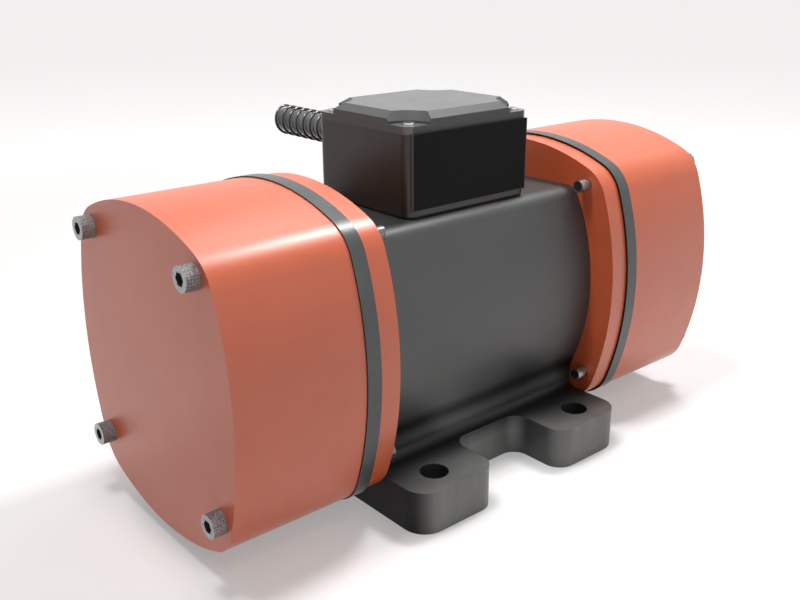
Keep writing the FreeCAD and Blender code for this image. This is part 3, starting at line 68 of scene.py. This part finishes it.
# extra brightness of the floor for camera and mirrors, by distance from the middle in metres
FLOOR_GLOW = [(0.25, 0.33), (0.90, 0.72), (2.00, 0.67), (5.00, 0.66)]
# what mirrors see on top of that, by the floor's Y in metres: more in front of the motor, less behind
MIRROR_GLOW = [(-0.30, 0.37), (0.05, -0.07)]

# Sizes of the dressed nodes, in metres
AXIS_HEIGHT = 0.075
UPPER_SCREW = (0.044, 0.0525)
LOWER_SCREW = (0.049, -0.0447)
SCREW_HEAD_START = 0.1455
SCREW_HEAD_END = 0.1515
SCREW_TAIL_START = 0.068
SCREW_TAIL_END = 0.061
TAIL_MIDDLE_RADIUS = 0.0023
SOCKET_REACH = 0.0031
KNURL_RIBS = 26.0
KNURL_PITCH = 0.0012
FOOT_TOP = 0.020
FOOT_HOLE = (0.047, 0.061)
FOOT_HOLE_RADIUS = 0.0065
WEB_HALF_WIDTH = 0.041
WEB_TOP = 0.0335
PLATE_HALF_LENGTH = 0.035
PLATE_BOTTOM = 0.129
PLATE_BORDER = 0.0005
CABLE_HEIGHT = 0.148
JACKET_START = 0.0583
JACKET_END = 0.1155
JACKET_RADIUS = 0.0063
JACKET_BORE = 0.0041
JACKET_CHAMFER = 0.0006
JACKET_GROOVE = 0.00015
COIL_PITCH = 0.0064
# steps of a turned piece round its axis, and along each groove of the jacket
TURNED_STEPS = 48
GROOVE_STEPS = 6

# Edges of masks: the number where each lies, and how far it fades to both sides.
# By one number of the surface normal, without its sign
UPRIGHT = (0.5, 0.2)
LEVEL = (0.9, 0.05)
FACING_FRONT = (0.45, 0.4)
FACING_SIDE = (0.6, 0.3)
BAND_SIDE = (0.6, 0.2)
LID_WALL = (0.3, 0.1)
LID_SCALLOP = (0.25, 0.1)
LID_TOP = (0.92, 0.04)
# By place or distance, in metres
FOOT_BODY = (FOOT_TOP + 0.001, 0.0008)
FOOT_FREE_EDGE = (0.064, 0.012)
FOOT_END = (0.046, 0.004)
CORNER_X = (0.058, 0.012)
CORNER_Y = (0.060, 0.008)
CORNER_Z = (0.034, 0.014)
WEB_SHADE = (WEB_HALF_WIDTH + 0.008, 0.006)
FOOT_BORE = (FOOT_HOLE_RADIUS + 0.0002, 0.0001)
PLATE_INSIDE_X = (PLATE_HALF_LENGTH - PLATE_BORDER, 0.0001)
PLATE_INSIDE_Z = (PLATE_BOTTOM + PLATE_BORDER, 0.0001)
SCREW_HEAD = (SCREW_HEAD_START - 0.001, 0.0005)
SCREW_FACE = (SCREW_HEAD_END - 0.0001, 0.00005)
SCREW_SOCKET = (SOCKET_REACH, 0.0001)
TAIL_FACE = (SCREW_TAIL_END + 0.0003, 0.0001)
TAIL_MIDDLE = (TAIL_MIDDLE_RADIUS, 0.0002)
TAIL_ROOT = (SCREW_TAIL_START + 0.001, 0.0005)
LEFT_END = (0.0, 0.001)
# creases along the web, with how far the painted shade reaches from each, and where it is full
CREASES = [(FOOT_TOP, 0.0075), (WEB_TOP, 0.0065)]
CREASE_CORE = 0.001


# Node helpers


def new_material(name):
    """A material with its node tree, and the shader that it ends in."""
    material = bpy.data.materials.new(name)
    material.use_nodes = True
    tree = material.node_tree
    return material, tree, tree.nodes["Principled BSDF"]


def add(tree, kind, **settings):
    """A node of one kind, with its own settings."""
    node = tree.nodes.new(kind)
    for name, value in settings.items():
        setattr(node, name, value)
    return node


def object_place(tree):
    """Place on the object, in the row frame's metres."""
    return add(tree, "ShaderNodeTexCoord").outputs["Object"]


def axes(tree, vector):
    """The three numbers of a vector."""
    split = add(tree, "ShaderNodeSeparateXYZ")
    tree.links.new(vector, split.inputs["Vector"])
    return split.outputs["X"], split.outputs["Y"], split.outputs["Z"]


def calculate(tree, operation, *values):
    """A number worked out from sockets or plain numbers."""
    node = add(tree, "ShaderNodeMath", operation=operation)
    for slot, value in enumerate(values):
        if isinstance(value, (int, float)):
            node.inputs[slot].default_value = value
        else:
            tree.links.new(value, node.inputs[slot])
    return node.outputs[0]


def absolute(tree, value):
    """A number without its sign."""
    return calculate(tree, "ABSOLUTE", value)


def facing(tree):
    """How far the surface faces along X, Y and Z, each without its sign."""
    normal = add(tree, "ShaderNodeNewGeometry").outputs["Normal"]
    return [absolute(tree, part) for part in axes(tree, normal)]


def distance(tree, across, along):
    """Distance from a centre, out of two offsets at right angles."""
    squares = [calculate(tree, "MULTIPLY", offset, offset) for offset in (across, along)]
    return calculate(tree, "SQRT", calculate(tree, "ADD", *squares))


def noise(tree, place, scale, detail=4.0, rough=0.6, stretch=(1.0, 1.0, 1.0)):
    """Noise by place, in cells to the metre."""
    mapping = add(tree, "ShaderNodeMapping")
    mapping.inputs["Scale"].default_value = stretch
    tree.links.new(place, mapping.inputs["Vector"])
    texture = add(tree, "ShaderNodeTexNoise")
    texture.inputs["Scale"].default_value = scale
    texture.inputs["Detail"].default_value = detail
    texture.inputs["Roughness"].default_value = rough
    tree.links.new(mapping.outputs["Vector"], texture.inputs["Vector"])
    return texture.outputs["Fac"]


def spread(tree, value, low, high, start=0.3, end=0.7):
    """Goes from low to high while a value goes from start to end, by default the middle of a noise."""
    node = add(tree, "ShaderNodeMapRange")
    node.inputs["From Min"].default_value = start
    node.inputs["From Max"].default_value = end
    node.inputs["To Min"].default_value = low
    node.inputs["To Max"].default_value = high
    tree.links.new(value, node.inputs["Value"])
    return node.outputs["Result"]


def inverse(tree, value):
    """1 where a mask is 0."""
    return calculate(tree, "SUBTRACT", 1.0, value)


def above(tree, value, edge):
    """1 above a mask's edge, 0 below it."""
    middle, fade = edge
    return spread(tree, value, 0.0, 1.0, middle - fade, middle + fade)


def below(tree, value, edge):
    """1 below a mask's edge, 0 above it."""
    return inverse(tree, above(tree, value, edge))


def mask(tree, *values):
    """Product of masks."""
    product = values[0]
    for value in values[1:]:
        product = calculate(tree, "MULTIPLY", product, value)
    return product


def linear(red, green, blue):
    """Colour of a picture, 0 to 255, as scene light."""
    values = []
    for level in (red, green, blue):
        level = level / 255.0
        values.append(level / 12.92 if level <= 0.04045 else ((level + 0.055) / 1.055) ** 2.4)
    return tuple(values)


def overlay(tree, factor, under, color):
    """A plain colour over another, plain or already mixed, by a mask."""
    node = add(tree, "ShaderNodeMix", data_type="RGBA")
    tree.links.new(factor, node.inputs["Factor"])
    first, second = [item for item in node.inputs if item.type == "RGBA"]
    if isinstance(under, tuple):
        first.default_value = (*under, 1.0)
    else:
        tree.links.new(under, first)
    second.default_value = (*color, 1.0)
    return [item for item in node.outputs if item.type == "RGBA"][0]


def patch_color(tree, patches, dark, light, **limits):
    """Colour that wanders between a dark and a light one with a noise."""
    return overlay(tree, spread(tree, patches, 0.0, 1.0, **limits), dark, light)


def bump(tree, shader, height, strength, reach, under=None):
    """Raises the surface by a height, over an earlier bump where there is one."""
    node = add(tree, "ShaderNodeBump")
    node.inputs["Strength"].default_value = strength
    node.inputs["Distance"].default_value = reach
    tree.links.new(height, node.inputs["Height"])
    if under is not None:
        tree.links.new(under, node.inputs["Normal"])
    tree.links.new(node.outputs["Normal"], shader.inputs["Normal"])
    return node.outputs["Normal"]


def surface(name, dark, light, patch=60.0, grain=900.0, metallic=0.0, rough=(0.4, 0.5), bumps=0.15,
            depth=0.0001, coat=0.0, coat_rough=0.2, specular=0.5):
    """A mottled surface: broad patches in colour, fine grain in roughness and height."""
    material, tree, shader = new_material(name)
    place = object_place(tree)
    patches = noise(tree, place, scale=patch)
    fine = noise(tree, place, scale=grain, detail=3.0)
    tree.links.new(patch_color(tree, patches, dark, light), shader.inputs["Base Color"])
    tree.links.new(spread(tree, fine, *rough), shader.inputs["Roughness"])
    bump(tree, shader, fine, strength=bumps, reach=depth)
    shader.inputs["Metallic"].default_value = metallic
    shader.inputs["Specular IOR Level"].default_value = specular
    shader.inputs["Coat Weight"].default_value = coat
    shader.inputs["Coat Roughness"].default_value = coat_rough
    return material


# Materials


def orange_paint():
    """Satin enamel over the castings, slightly uneven."""
    return surface("orange_paint", linear(196, 86, 46), linear(204, 93, 52), patch=25.0, grain=700.0,
                   rough=(0.38, 0.44), bumps=0.06, depth=0.00005, coat=0.5, coat_rough=0.32, specular=0.55)


def cast_grey():
    """Dark grey paint on a rough casting, with painted light and shade: a painted reflection on the fronts
    of the feet, painted light on their tops, and painted shade on their ends, beside the flanges, in the
    creases and in the bores.
    """
    material, tree, shader = new_material("cast_grey")
    place = object_place(tree)
    patches = noise(tree, place, scale=38.0, detail=6.0, rough=0.65)
    runs = noise(tree, place, scale=90.0, detail=3.0, stretch=(1.0, 1.0, 0.25))
    grain = noise(tree, place, scale=420.0, detail=5.0)
    color = patch_color(tree, patches, linear(30, 30, 30), linear(40, 40, 39), start=0.35, end=0.65)
    x, y, z = axes(tree, place)
    far_x = absolute(tree, x)
    far_y = absolute(tree, y)
    facing_x, facing_y, facing_z = facing(tree)
    # painted reflection: the front and back faces of the feet painted lighter, for the lit floor that they
    # mirror
    low = below(tree, z, FOOT_BODY)
    upright = below(tree, facing_z, UPRIGHT)
    painted_floor_sheen = mask(tree, low, upright, above(tree, facing_y, FACING_FRONT), spread(tree, runs, 0.5, 1.0))
    color = overlay(tree, painted_floor_sheen, color, linear(102, 102, 100))
    # painted light: the tops of the feet painted lighter towards their free edge, away from the shade by the
    # web
    painted_top_light = mask(tree, low, above(tree, facing_z, LEVEL), above(tree, far_y, FOOT_FREE_EDGE),
                  spread(tree, runs, 0.5, 0.9))
    color = overlay(tree, painted_top_light, color, linear(96, 96, 94))
    # painted shade: the ends of the feet, in the covers' shade, and the corners low beside the flanges
    # painted dark
    painted_shade = mask(tree, low, upright, above(tree, facing_x, FACING_SIDE), above(tree, far_x, FOOT_END))
    corner = mask(tree, above(tree, far_x, CORNER_X), below(tree, far_y, CORNER_Y),
                  below(tree, z, CORNER_Z))
    painted_shade = calculate(tree, "MAXIMUM", painted_shade, calculate(tree, "MULTIPLY", corner, 0.85))
    # painted shade in the two creases along the web
    near_web = below(tree, far_y, WEB_SHADE)
    for height, reach in CREASES:
        gap = absolute(tree, calculate(tree, "SUBTRACT", z, height))
        crease = mask(tree, near_web, spread(tree, gap, 1.0, 0.0, CREASE_CORE, reach))
        painted_shade = calculate(tree, "MAXIMUM", painted_shade, crease)
    color = overlay(tree, painted_shade, color, linear(8, 8, 8))
    # painted shade: the bores of the feet painted near black
    gap_x = calculate(tree, "SUBTRACT", far_x, FOOT_HOLE[0])
    gap_y = calculate(tree, "SUBTRACT", far_y, FOOT_HOLE[1])
    bore = mask(tree, below(tree, distance(tree, gap_x, gap_y), FOOT_BORE), upright)
    color = overlay(tree, bore, color, linear(14, 14, 14))
    tree.links.new(color, shader.inputs["Base Color"])
    tree.links.new(spread(tree, patches, 0.45, 0.55), shader.inputs["Roughness"])
    waves = bump(tree, shader, patches, strength=0.12, reach=0.0008)
    bump(tree, shader, grain, strength=0.18, reach=0.0002, under=waves)
    tree.links.new(spread(tree, painted_shade, 0.83, 0.30, 0.0, 1.0), shader.inputs["Specular IOR Level"])
    return material


def satin_band():
    """Grey clamping band, turned and left bare, with painted shade down its sides."""
    material, tree, shader = new_material("satin_band")
    place = object_place(tree)
    patches = noise(tree, place, scale=45.0)
    turned = noise(tree, place, scale=500.0, detail=3.0, stretch=(6.0, 1.0, 1.0))
    color = patch_color(tree, patches, linear(70, 71, 72), linear(82, 83, 84))
    # painted shade: the band's side faces painted near black, for the shade on its side wall
    color = overlay(tree, above(tree, facing(tree)[0], BAND_SIDE), color, linear(12, 12, 12))
    tree.links.new(color, shader.inputs["Base Color"])
    tree.links.new(spread(tree, turned, 0.27, 0.35), shader.inputs["Roughness"])
    bump(tree, shader, turned, strength=0.08, reach=0.0001)
    shader.inputs["Metallic"].default_value = 0.12
    shader.inputs["Specular IOR Level"].default_value = 0.4
    return material


def brushed_lid():
    """Light alloy lid with fine scratches along its length, darker and matt round its edge."""
    material, tree, shader = new_material("brushed_lid")
    place = object_place(tree)
    patches = noise(tree, place, scale=70.0)
    scratches = noise(tree, place, scale=260.0, detail=3.0, stretch=(1.0, 14.0, 1.0))
    color = patch_color(tree, patches, linear(86, 86, 86), linear(98, 98, 98))
    facing_x, facing_y, facing_z = facing(tree)
    scallop = mask(tree, below(tree, facing_z, LID_WALL), above(tree, facing_x, LID_SCALLOP),
                   above(tree, facing_y, LID_SCALLOP))
    edge = mask(tree, below(tree, facing_z, LID_TOP), inverse(tree, scallop))
    color = overlay(tree, edge, color, linear(90, 90, 90))
    tree.links.new(color, shader.inputs["Base Color"])
    matt = calculate(tree, "MULTIPLY", edge, 0.2)
    rough = calculate(tree, "ADD", spread(tree, scratches, 0.26, 0.36), matt)
    tree.links.new(rough, shader.inputs["Roughness"])
    bump(tree, shader, scratches, strength=0.03, reach=0.00004)
    shader.inputs["Metallic"].default_value = 0.12
    tree.links.new(spread(tree, edge, 0.62, 0.12, 0.0, 1.0), shader.inputs["Specular IOR Level"])
    return material


def box_coating():
    """Dark glossy coating of the terminal box."""
    return surface("box_coating", linear(44, 38, 36), linear(54, 47, 44), patch=30.0, grain=800.0,
                   metallic=0.35, rough=(0.30, 0.38), bumps=0.05, depth=0.00005)


def plate_black():
    """Blank black plate, matt, with a painted highlight along its edge."""
    material, tree, shader = new_material("plate_black")
    place = object_place(tree)
    patches = noise(tree, place, scale=40.0)
    grain = noise(tree, place, scale=1500.0, detail=3.0)
    color = patch_color(tree, patches, linear(12, 12, 12), linear(16, 16, 16))
    # painted highlight: a thin light line round the plate's edge, for the light that its rim catches
    x, _, z = axes(tree, place)
    inside = mask(tree, below(tree, absolute(tree, x), PLATE_INSIDE_X), above(tree, z, PLATE_INSIDE_Z))
    color = overlay(tree, inverse(tree, inside), color, linear(84, 80, 78))
    tree.links.new(color, shader.inputs["Base Color"])
    tree.links.new(spread(tree, grain, 0.55, 0.65), shader.inputs["Roughness"])
    bump(tree, shader, grain, strength=0.05, reach=0.00004)
    shader.inputs["Specular IOR Level"].default_value = 0.09
    return material


def metal(name, dark, light, rough, grain=1200.0, bumps=0.1):
    """Bare or varnished metal."""
    return surface(name, dark, light, patch=90.0, grain=grain, metallic=1.0, rough=rough, bumps=bumps)


def screw_steel():
    """Zinc plated socket screws: knurled head with a bright face, painted shade in the socket and on the
    tails at the left flange.
    """
    material, tree, shader = new_material("screw_steel")
    place = object_place(tree)
    x, y, z = axes(tree, place)
    far_x = absolute(tree, x)
    far_y = absolute(tree, y)
    # distance and angle from the nearest screw's own axis
    height = calculate(tree, "SUBTRACT", z, AXIS_HEIGHT)
    upper = calculate(tree, "GREATER_THAN", height, 0.0)
    screw_y, screw_z = [spread(tree, upper, *pair, 0.0, 1.0) for pair in zip(LOWER_SCREW, UPPER_SCREW)]
    across = calculate(tree, "SUBTRACT", far_y, screw_y)
    along = calculate(tree, "SUBTRACT", height, screw_z)
    radius = distance(tree, across, along)
    angle = calculate(tree, "ARCTAN2", along, across)
    # diamond knurl on the side of the head
    ribs = calculate(tree, "COSINE", calculate(tree, "MULTIPLY", angle, KNURL_RIBS))
    rings = calculate(tree, "COSINE", calculate(tree, "MULTIPLY", far_x, 2.0 * math.pi / KNURL_PITCH))
    knurl = calculate(tree, "ADD", ribs, rings)
    head = above(tree, far_x, SCREW_HEAD)
    on_knurl = mask(tree, head, below(tree, facing(tree)[0], UPRIGHT))
    cells = noise(tree, place, scale=1100.0, rough=0.8)
    color = patch_color(tree, cells, linear(138, 138, 140), linear(176, 176, 178), start=0.35, end=0.65)
    speckle = noise(tree, place, scale=1500.0, rough=0.9)
    specks = calculate(tree, "ADD", calculate(tree, "MULTIPLY", knurl, 0.035), speckle)
    # dark reddish specks over the knurl
    knurl_specks = mask(tree, on_knurl, spread(tree, specks, 0.9, 0.0, 0.38, 0.60))
    color = overlay(tree, knurl_specks, color, linear(82, 70, 68))
    # painted shade: the socket's recess painted near black. A darker middle on the tail's end.
    socket = mask(tree, head, below(tree, far_x, SCREW_FACE), below(tree, radius, SCREW_SOCKET))
    color = overlay(tree, socket, color, linear(14, 14, 14))
    tail_end = mask(tree, below(tree, far_x, TAIL_FACE), below(tree, radius, TAIL_MIDDLE))
    color = overlay(tree, tail_end, color, linear(92, 92, 92))
    # painted shade: the tails at the left flange painted dark and speckled, while the same tails at the
    # right stay bright
    shaded_left_tails = mask(tree, below(tree, x, LEFT_END), below(tree, far_x, TAIL_ROOT),
                spread(tree, specks, 1.0, 0.3, 0.38, 0.60))
    color = overlay(tree, shaded_left_tails, color, linear(52, 48, 46))
    tree.links.new(color, shader.inputs["Base Color"])
    tree.links.new(spread(tree, cells, 0.24, 0.42), shader.inputs["Roughness"])
    bump(tree, shader, mask(tree, on_knurl, specks), strength=0.8, reach=0.0006)
    dull_socket = calculate(tree, "MULTIPLY", socket, 0.9)
    dull_tail = calculate(tree, "MULTIPLY", shaded_left_tails, 0.85)
    dull = calculate(tree, "MAXIMUM", dull_socket, dull_tail)
    tree.links.new(inverse(tree, dull), shader.inputs["Metallic"])
    return material


def coil_steel():
    """Blackened spring wire with a sharp gloss."""
    return surface("coil_steel", linear(34, 34, 34), linear(52, 52, 52), patch=120.0, metallic=0.5,
                   rough=(0.18, 0.28), bumps=0.05, coat=1.0, coat_rough=0.08, specular=0.9)


MATERIALS = {
    "housing_grey": cast_grey(),
    "orange": orange_paint(),
    "band_grey": satin_band(),
    "steel": metal("machined_steel", linear(140, 140, 142), linear(170, 170, 172), rough=(0.28, 0.4)),
    "core_steel": metal("laminated_steel", linear(95, 95, 98), linear(125, 125, 128), rough=(0.4, 0.55)),
    "bearing_steel": metal("polished_steel", linear(190, 190, 194), linear(215, 215, 218),
                           rough=(0.12, 0.2), bumps=0.03),
    "brass": metal("brass", linear(176, 142, 78), linear(205, 170, 98), rough=(0.28, 0.4)),
    "copper": metal("varnished_copper", linear(160, 84, 48), linear(196, 110, 66),
                    rough=(0.35, 0.5), grain=500.0, bumps=0.4),
    "aluminium": metal("bright_aluminium", linear(165, 165, 167), linear(190, 190, 192), rough=(0.3, 0.42)),
    "box_plastic": box_coating(),
    "plate": plate_black(),
    "black_rubber": surface("black_rubber", linear(24, 24, 24), linear(36, 36, 36), rough=(0.6, 0.75),
                            bumps=0.2, specular=0.3),
    "block_plastic": surface("terminal_plastic", linear(120, 62, 36), linear(140, 74, 44),
                             rough=(0.45, 0.6)),
}
SCREW = screw_steel()
SLEEVE = surface("sleeve_grey", linear(92, 92, 92), linear(108, 108, 108), grain=1500.0, rough=(0.3, 0.42),
                 coat=0.5)
OWN_MATERIALS = {
    "terminal_box_lid": brushed_lid(),
    "strain_relief_spring": coil_steel(),
    "cable_sleeve": SLEEVE,
    "right_cover_screws": SCREW,
    "left_cover_screws": SCREW,
    "lid_screws": MATERIALS["bearing_steel"],
}


def dress_nodes():
    """Gives every carried-over node the material of its slot, or its own."""
    for entry in frame["record"]["subparts"]:
        name = entry["node"]
        mesh = NODES[name].data
        mesh.materials.clear()
        mesh.materials.append(OWN_MATERIALS.get(name, MATERIALS[entry["material_slot"]]))


# Pieces added to the nodes


def link(name, data):
    """A new object in the scene."""
    item = bpy.data.objects.new(name, data)
    bpy.context.scene.collection.objects.link(item)
    return item


def turned_mesh(name, profile, centre):
    """A closed ring turned about a line along Y; profile is a loop of (y, radius)."""
    centre_x, centre_z = centre
    points = []
    faces = []
    count = len(profile)
    for step in range(TURNED_STEPS):
        angle = 2.0 * math.pi * step / TURNED_STEPS
        following = (step + 1) % TURNED_STEPS
        for i, (y, radius) in enumerate(profile):
            points.append((centre_x + radius * math.cos(angle), y, centre_z + radius * math.sin(angle)))
            j = (i + 1) % count
            faces.append((step * count + i, step * count + j, following * count + j, following * count + i))
    mesh = bpy.data.meshes.new(name)
    mesh.from_pydata(points, [], faces)
    mesh.validate()
    tool = bmesh.new()
    tool.from_mesh(mesh)
    bmesh.ops.recalc_face_normals(tool, faces=tool.faces)
    tool.to_mesh(mesh)
    tool.free()
    mesh.shade_smooth()
    return link(name, mesh)


def make_jacket():
    """Grey jacket on the cable sleeve, close under the coil, with a shallow groove for each of its turns."""
    shoulder = JACKET_RADIUS - JACKET_CHAMFER
    start = JACKET_START + JACKET_CHAMFER
    length = JACKET_END - JACKET_START
    turns = int(length / COIL_PITCH)
    profile = [(JACKET_START, JACKET_BORE), (JACKET_START, shoulder)]
    for i in range(turns * GROOVE_STEPS + 1):
        share = i / (turns * GROOVE_STEPS)
        groove = JACKET_GROOVE * (0.5 - 0.5 * math.cos(2.0 * math.pi * turns * share))
        profile.append((start + (length - 2.0 * JACKET_CHAMFER) * share, JACKET_RADIUS - groove))
    profile += [(JACKET_END, shoulder), (JACKET_END, JACKET_BORE)]
    jacket = turned_mesh("sleeve_jacket", profile, (0.0, CABLE_HEIGHT))
    jacket.data.materials.append(SLEEVE)
    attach(jacket, "frame")


# Stage, lights and camera


def camera_or_mirror(tree, path):
    """1 for a ray from the camera or off a glossy surface."""
    return calculate(tree, "MAXIMUM", path.outputs["Is Camera Ray"], path.outputs["Is Glossy Ray"])


def make_floor():
    """Wide pale floor that shows white to the camera and keeps the shadows."""
    half = FLOOR_HALF_SIZE
    mesh = bpy.data.meshes.new("floor")
    corners = [(-half, -half, 0.0), (half, -half, 0.0), (half, half, 0.0), (-half, half, 0.0)]
    mesh.from_pydata(corners, [], [(0, 1, 2, 3)])
    floor = link("floor", mesh)
    floor.location.z = -FLOOR_DROP
    material, tree, shader = new_material("floor")
    shader.inputs["Roughness"].default_value = 0.9
    shader.inputs["Specular IOR Level"].default_value = 0.1
    shader.inputs["Emission Color"].default_value = FLOOR_TINT
    # painted contact shadow: the floor greys where the feet meet it
    contact = add(tree, "ShaderNodeAmbientOcclusion")
    contact.inputs["Color"].default_value = FLOOR_COLOR
    contact.inputs["Distance"].default_value = CONTACT_REACH
    tree.links.new(contact.outputs["Color"], shader.inputs["Base Color"])
    # extra brightness that camera and mirrors see, more where the lamps no longer reach
    path = add(tree, "ShaderNodeLightPath")
    seen = calculate(tree, "MAXIMUM", camera_or_mirror(tree, path), path.outputs["Is Transmission Ray"])
    place = object_place(tree)
    length = add(tree, "ShaderNodeVectorMath", operation="LENGTH")
    tree.links.new(place, length.inputs[0])
    glow = FLOOR_GLOW[0][1]
    for (near, before), (far, after) in zip(FLOOR_GLOW, FLOOR_GLOW[1:]):
        change = spread(tree, length.outputs["Value"], 0.0, after - before, near, far)
        glow = calculate(tree, "ADD", glow, change)
    (front, front_glow), (back, back_glow) = MIRROR_GLOW
    y = axes(tree, place)[1]
    mirrored = spread(tree, y, front_glow, back_glow, front, back)
    mirrored = calculate(tree, "MULTIPLY", mirrored, path.outputs["Is Glossy Ray"])
    total = calculate(tree, "ADD", calculate(tree, "MULTIPLY", seen, glow), mirrored)
    tree.links.new(calculate(tree, "MAXIMUM", total, 0.0), shader.inputs["Emission Strength"])
    mesh.materials.append(material)


def make_lights():
    """Soft boxes above the ends, a strip behind, a fill in front, and a pale surround."""
    for name, place, size, watts in LAMPS:
        data = bpy.data.lights.new(name, "AREA")
        data.shape = "RECTANGLE"
        data.size, data.size_y = size
        data.energy = watts
        lamp = link(name, data)
        lamp.location = place
        lamp.rotation_euler = (Vector(LAMP_TARGET) - Vector(place)).to_track_quat("-Z", "Y").to_euler()
    world = bpy.data.worlds.new("surround")
    bpy.context.scene.world = world
    world.use_nodes = True
    tree = world.node_tree
    sky = tree.nodes["Background"]
    sky.inputs["Color"].default_value = (1.0, 1.0, 1.0, 1.0)
    seen = camera_or_mirror(tree, add(tree, "ShaderNodeLightPath"))
    tree.links.new(spread(tree, seen, SKY_LIGHT, SKY_SEEN, 0.0, 1.0), sky.inputs["Strength"])


def make_camera():
    """The photograph's viewpoint."""
    level = math.cos(CAMERA_PITCH)
    forward = Vector((math.sin(CAMERA_YAW) * level, math.cos(CAMERA_YAW) * level, -math.sin(CAMERA_PITCH)))
    side = Vector((math.cos(CAMERA_YAW), -math.sin(CAMERA_YAW), 0.0))
    up = side.cross(forward)
    turn = Matrix.Rotation(CAMERA_ROLL, 3, forward)
    data = bpy.data.cameras.new("photograph")
    data.sensor_width = SENSOR_WIDTH
    data.lens = FOCAL_PIXELS * SENSOR_WIDTH / PICTURE_WIDTH
    data.clip_start = CAMERA_NEAR
    camera = link("photograph", data)
    rows = Matrix((turn @ side, turn @ up, -forward)).transposed()
    camera.matrix_world = Matrix.Translation(CAMERA_PLACE) @ rows.to_4x4()
    bpy.context.scene.camera = camera


dress_nodes()
make_jacket()
make_floor()
make_lights()
make_camera()
bpy.context.scene.view_settings.view_transform = "Standard"
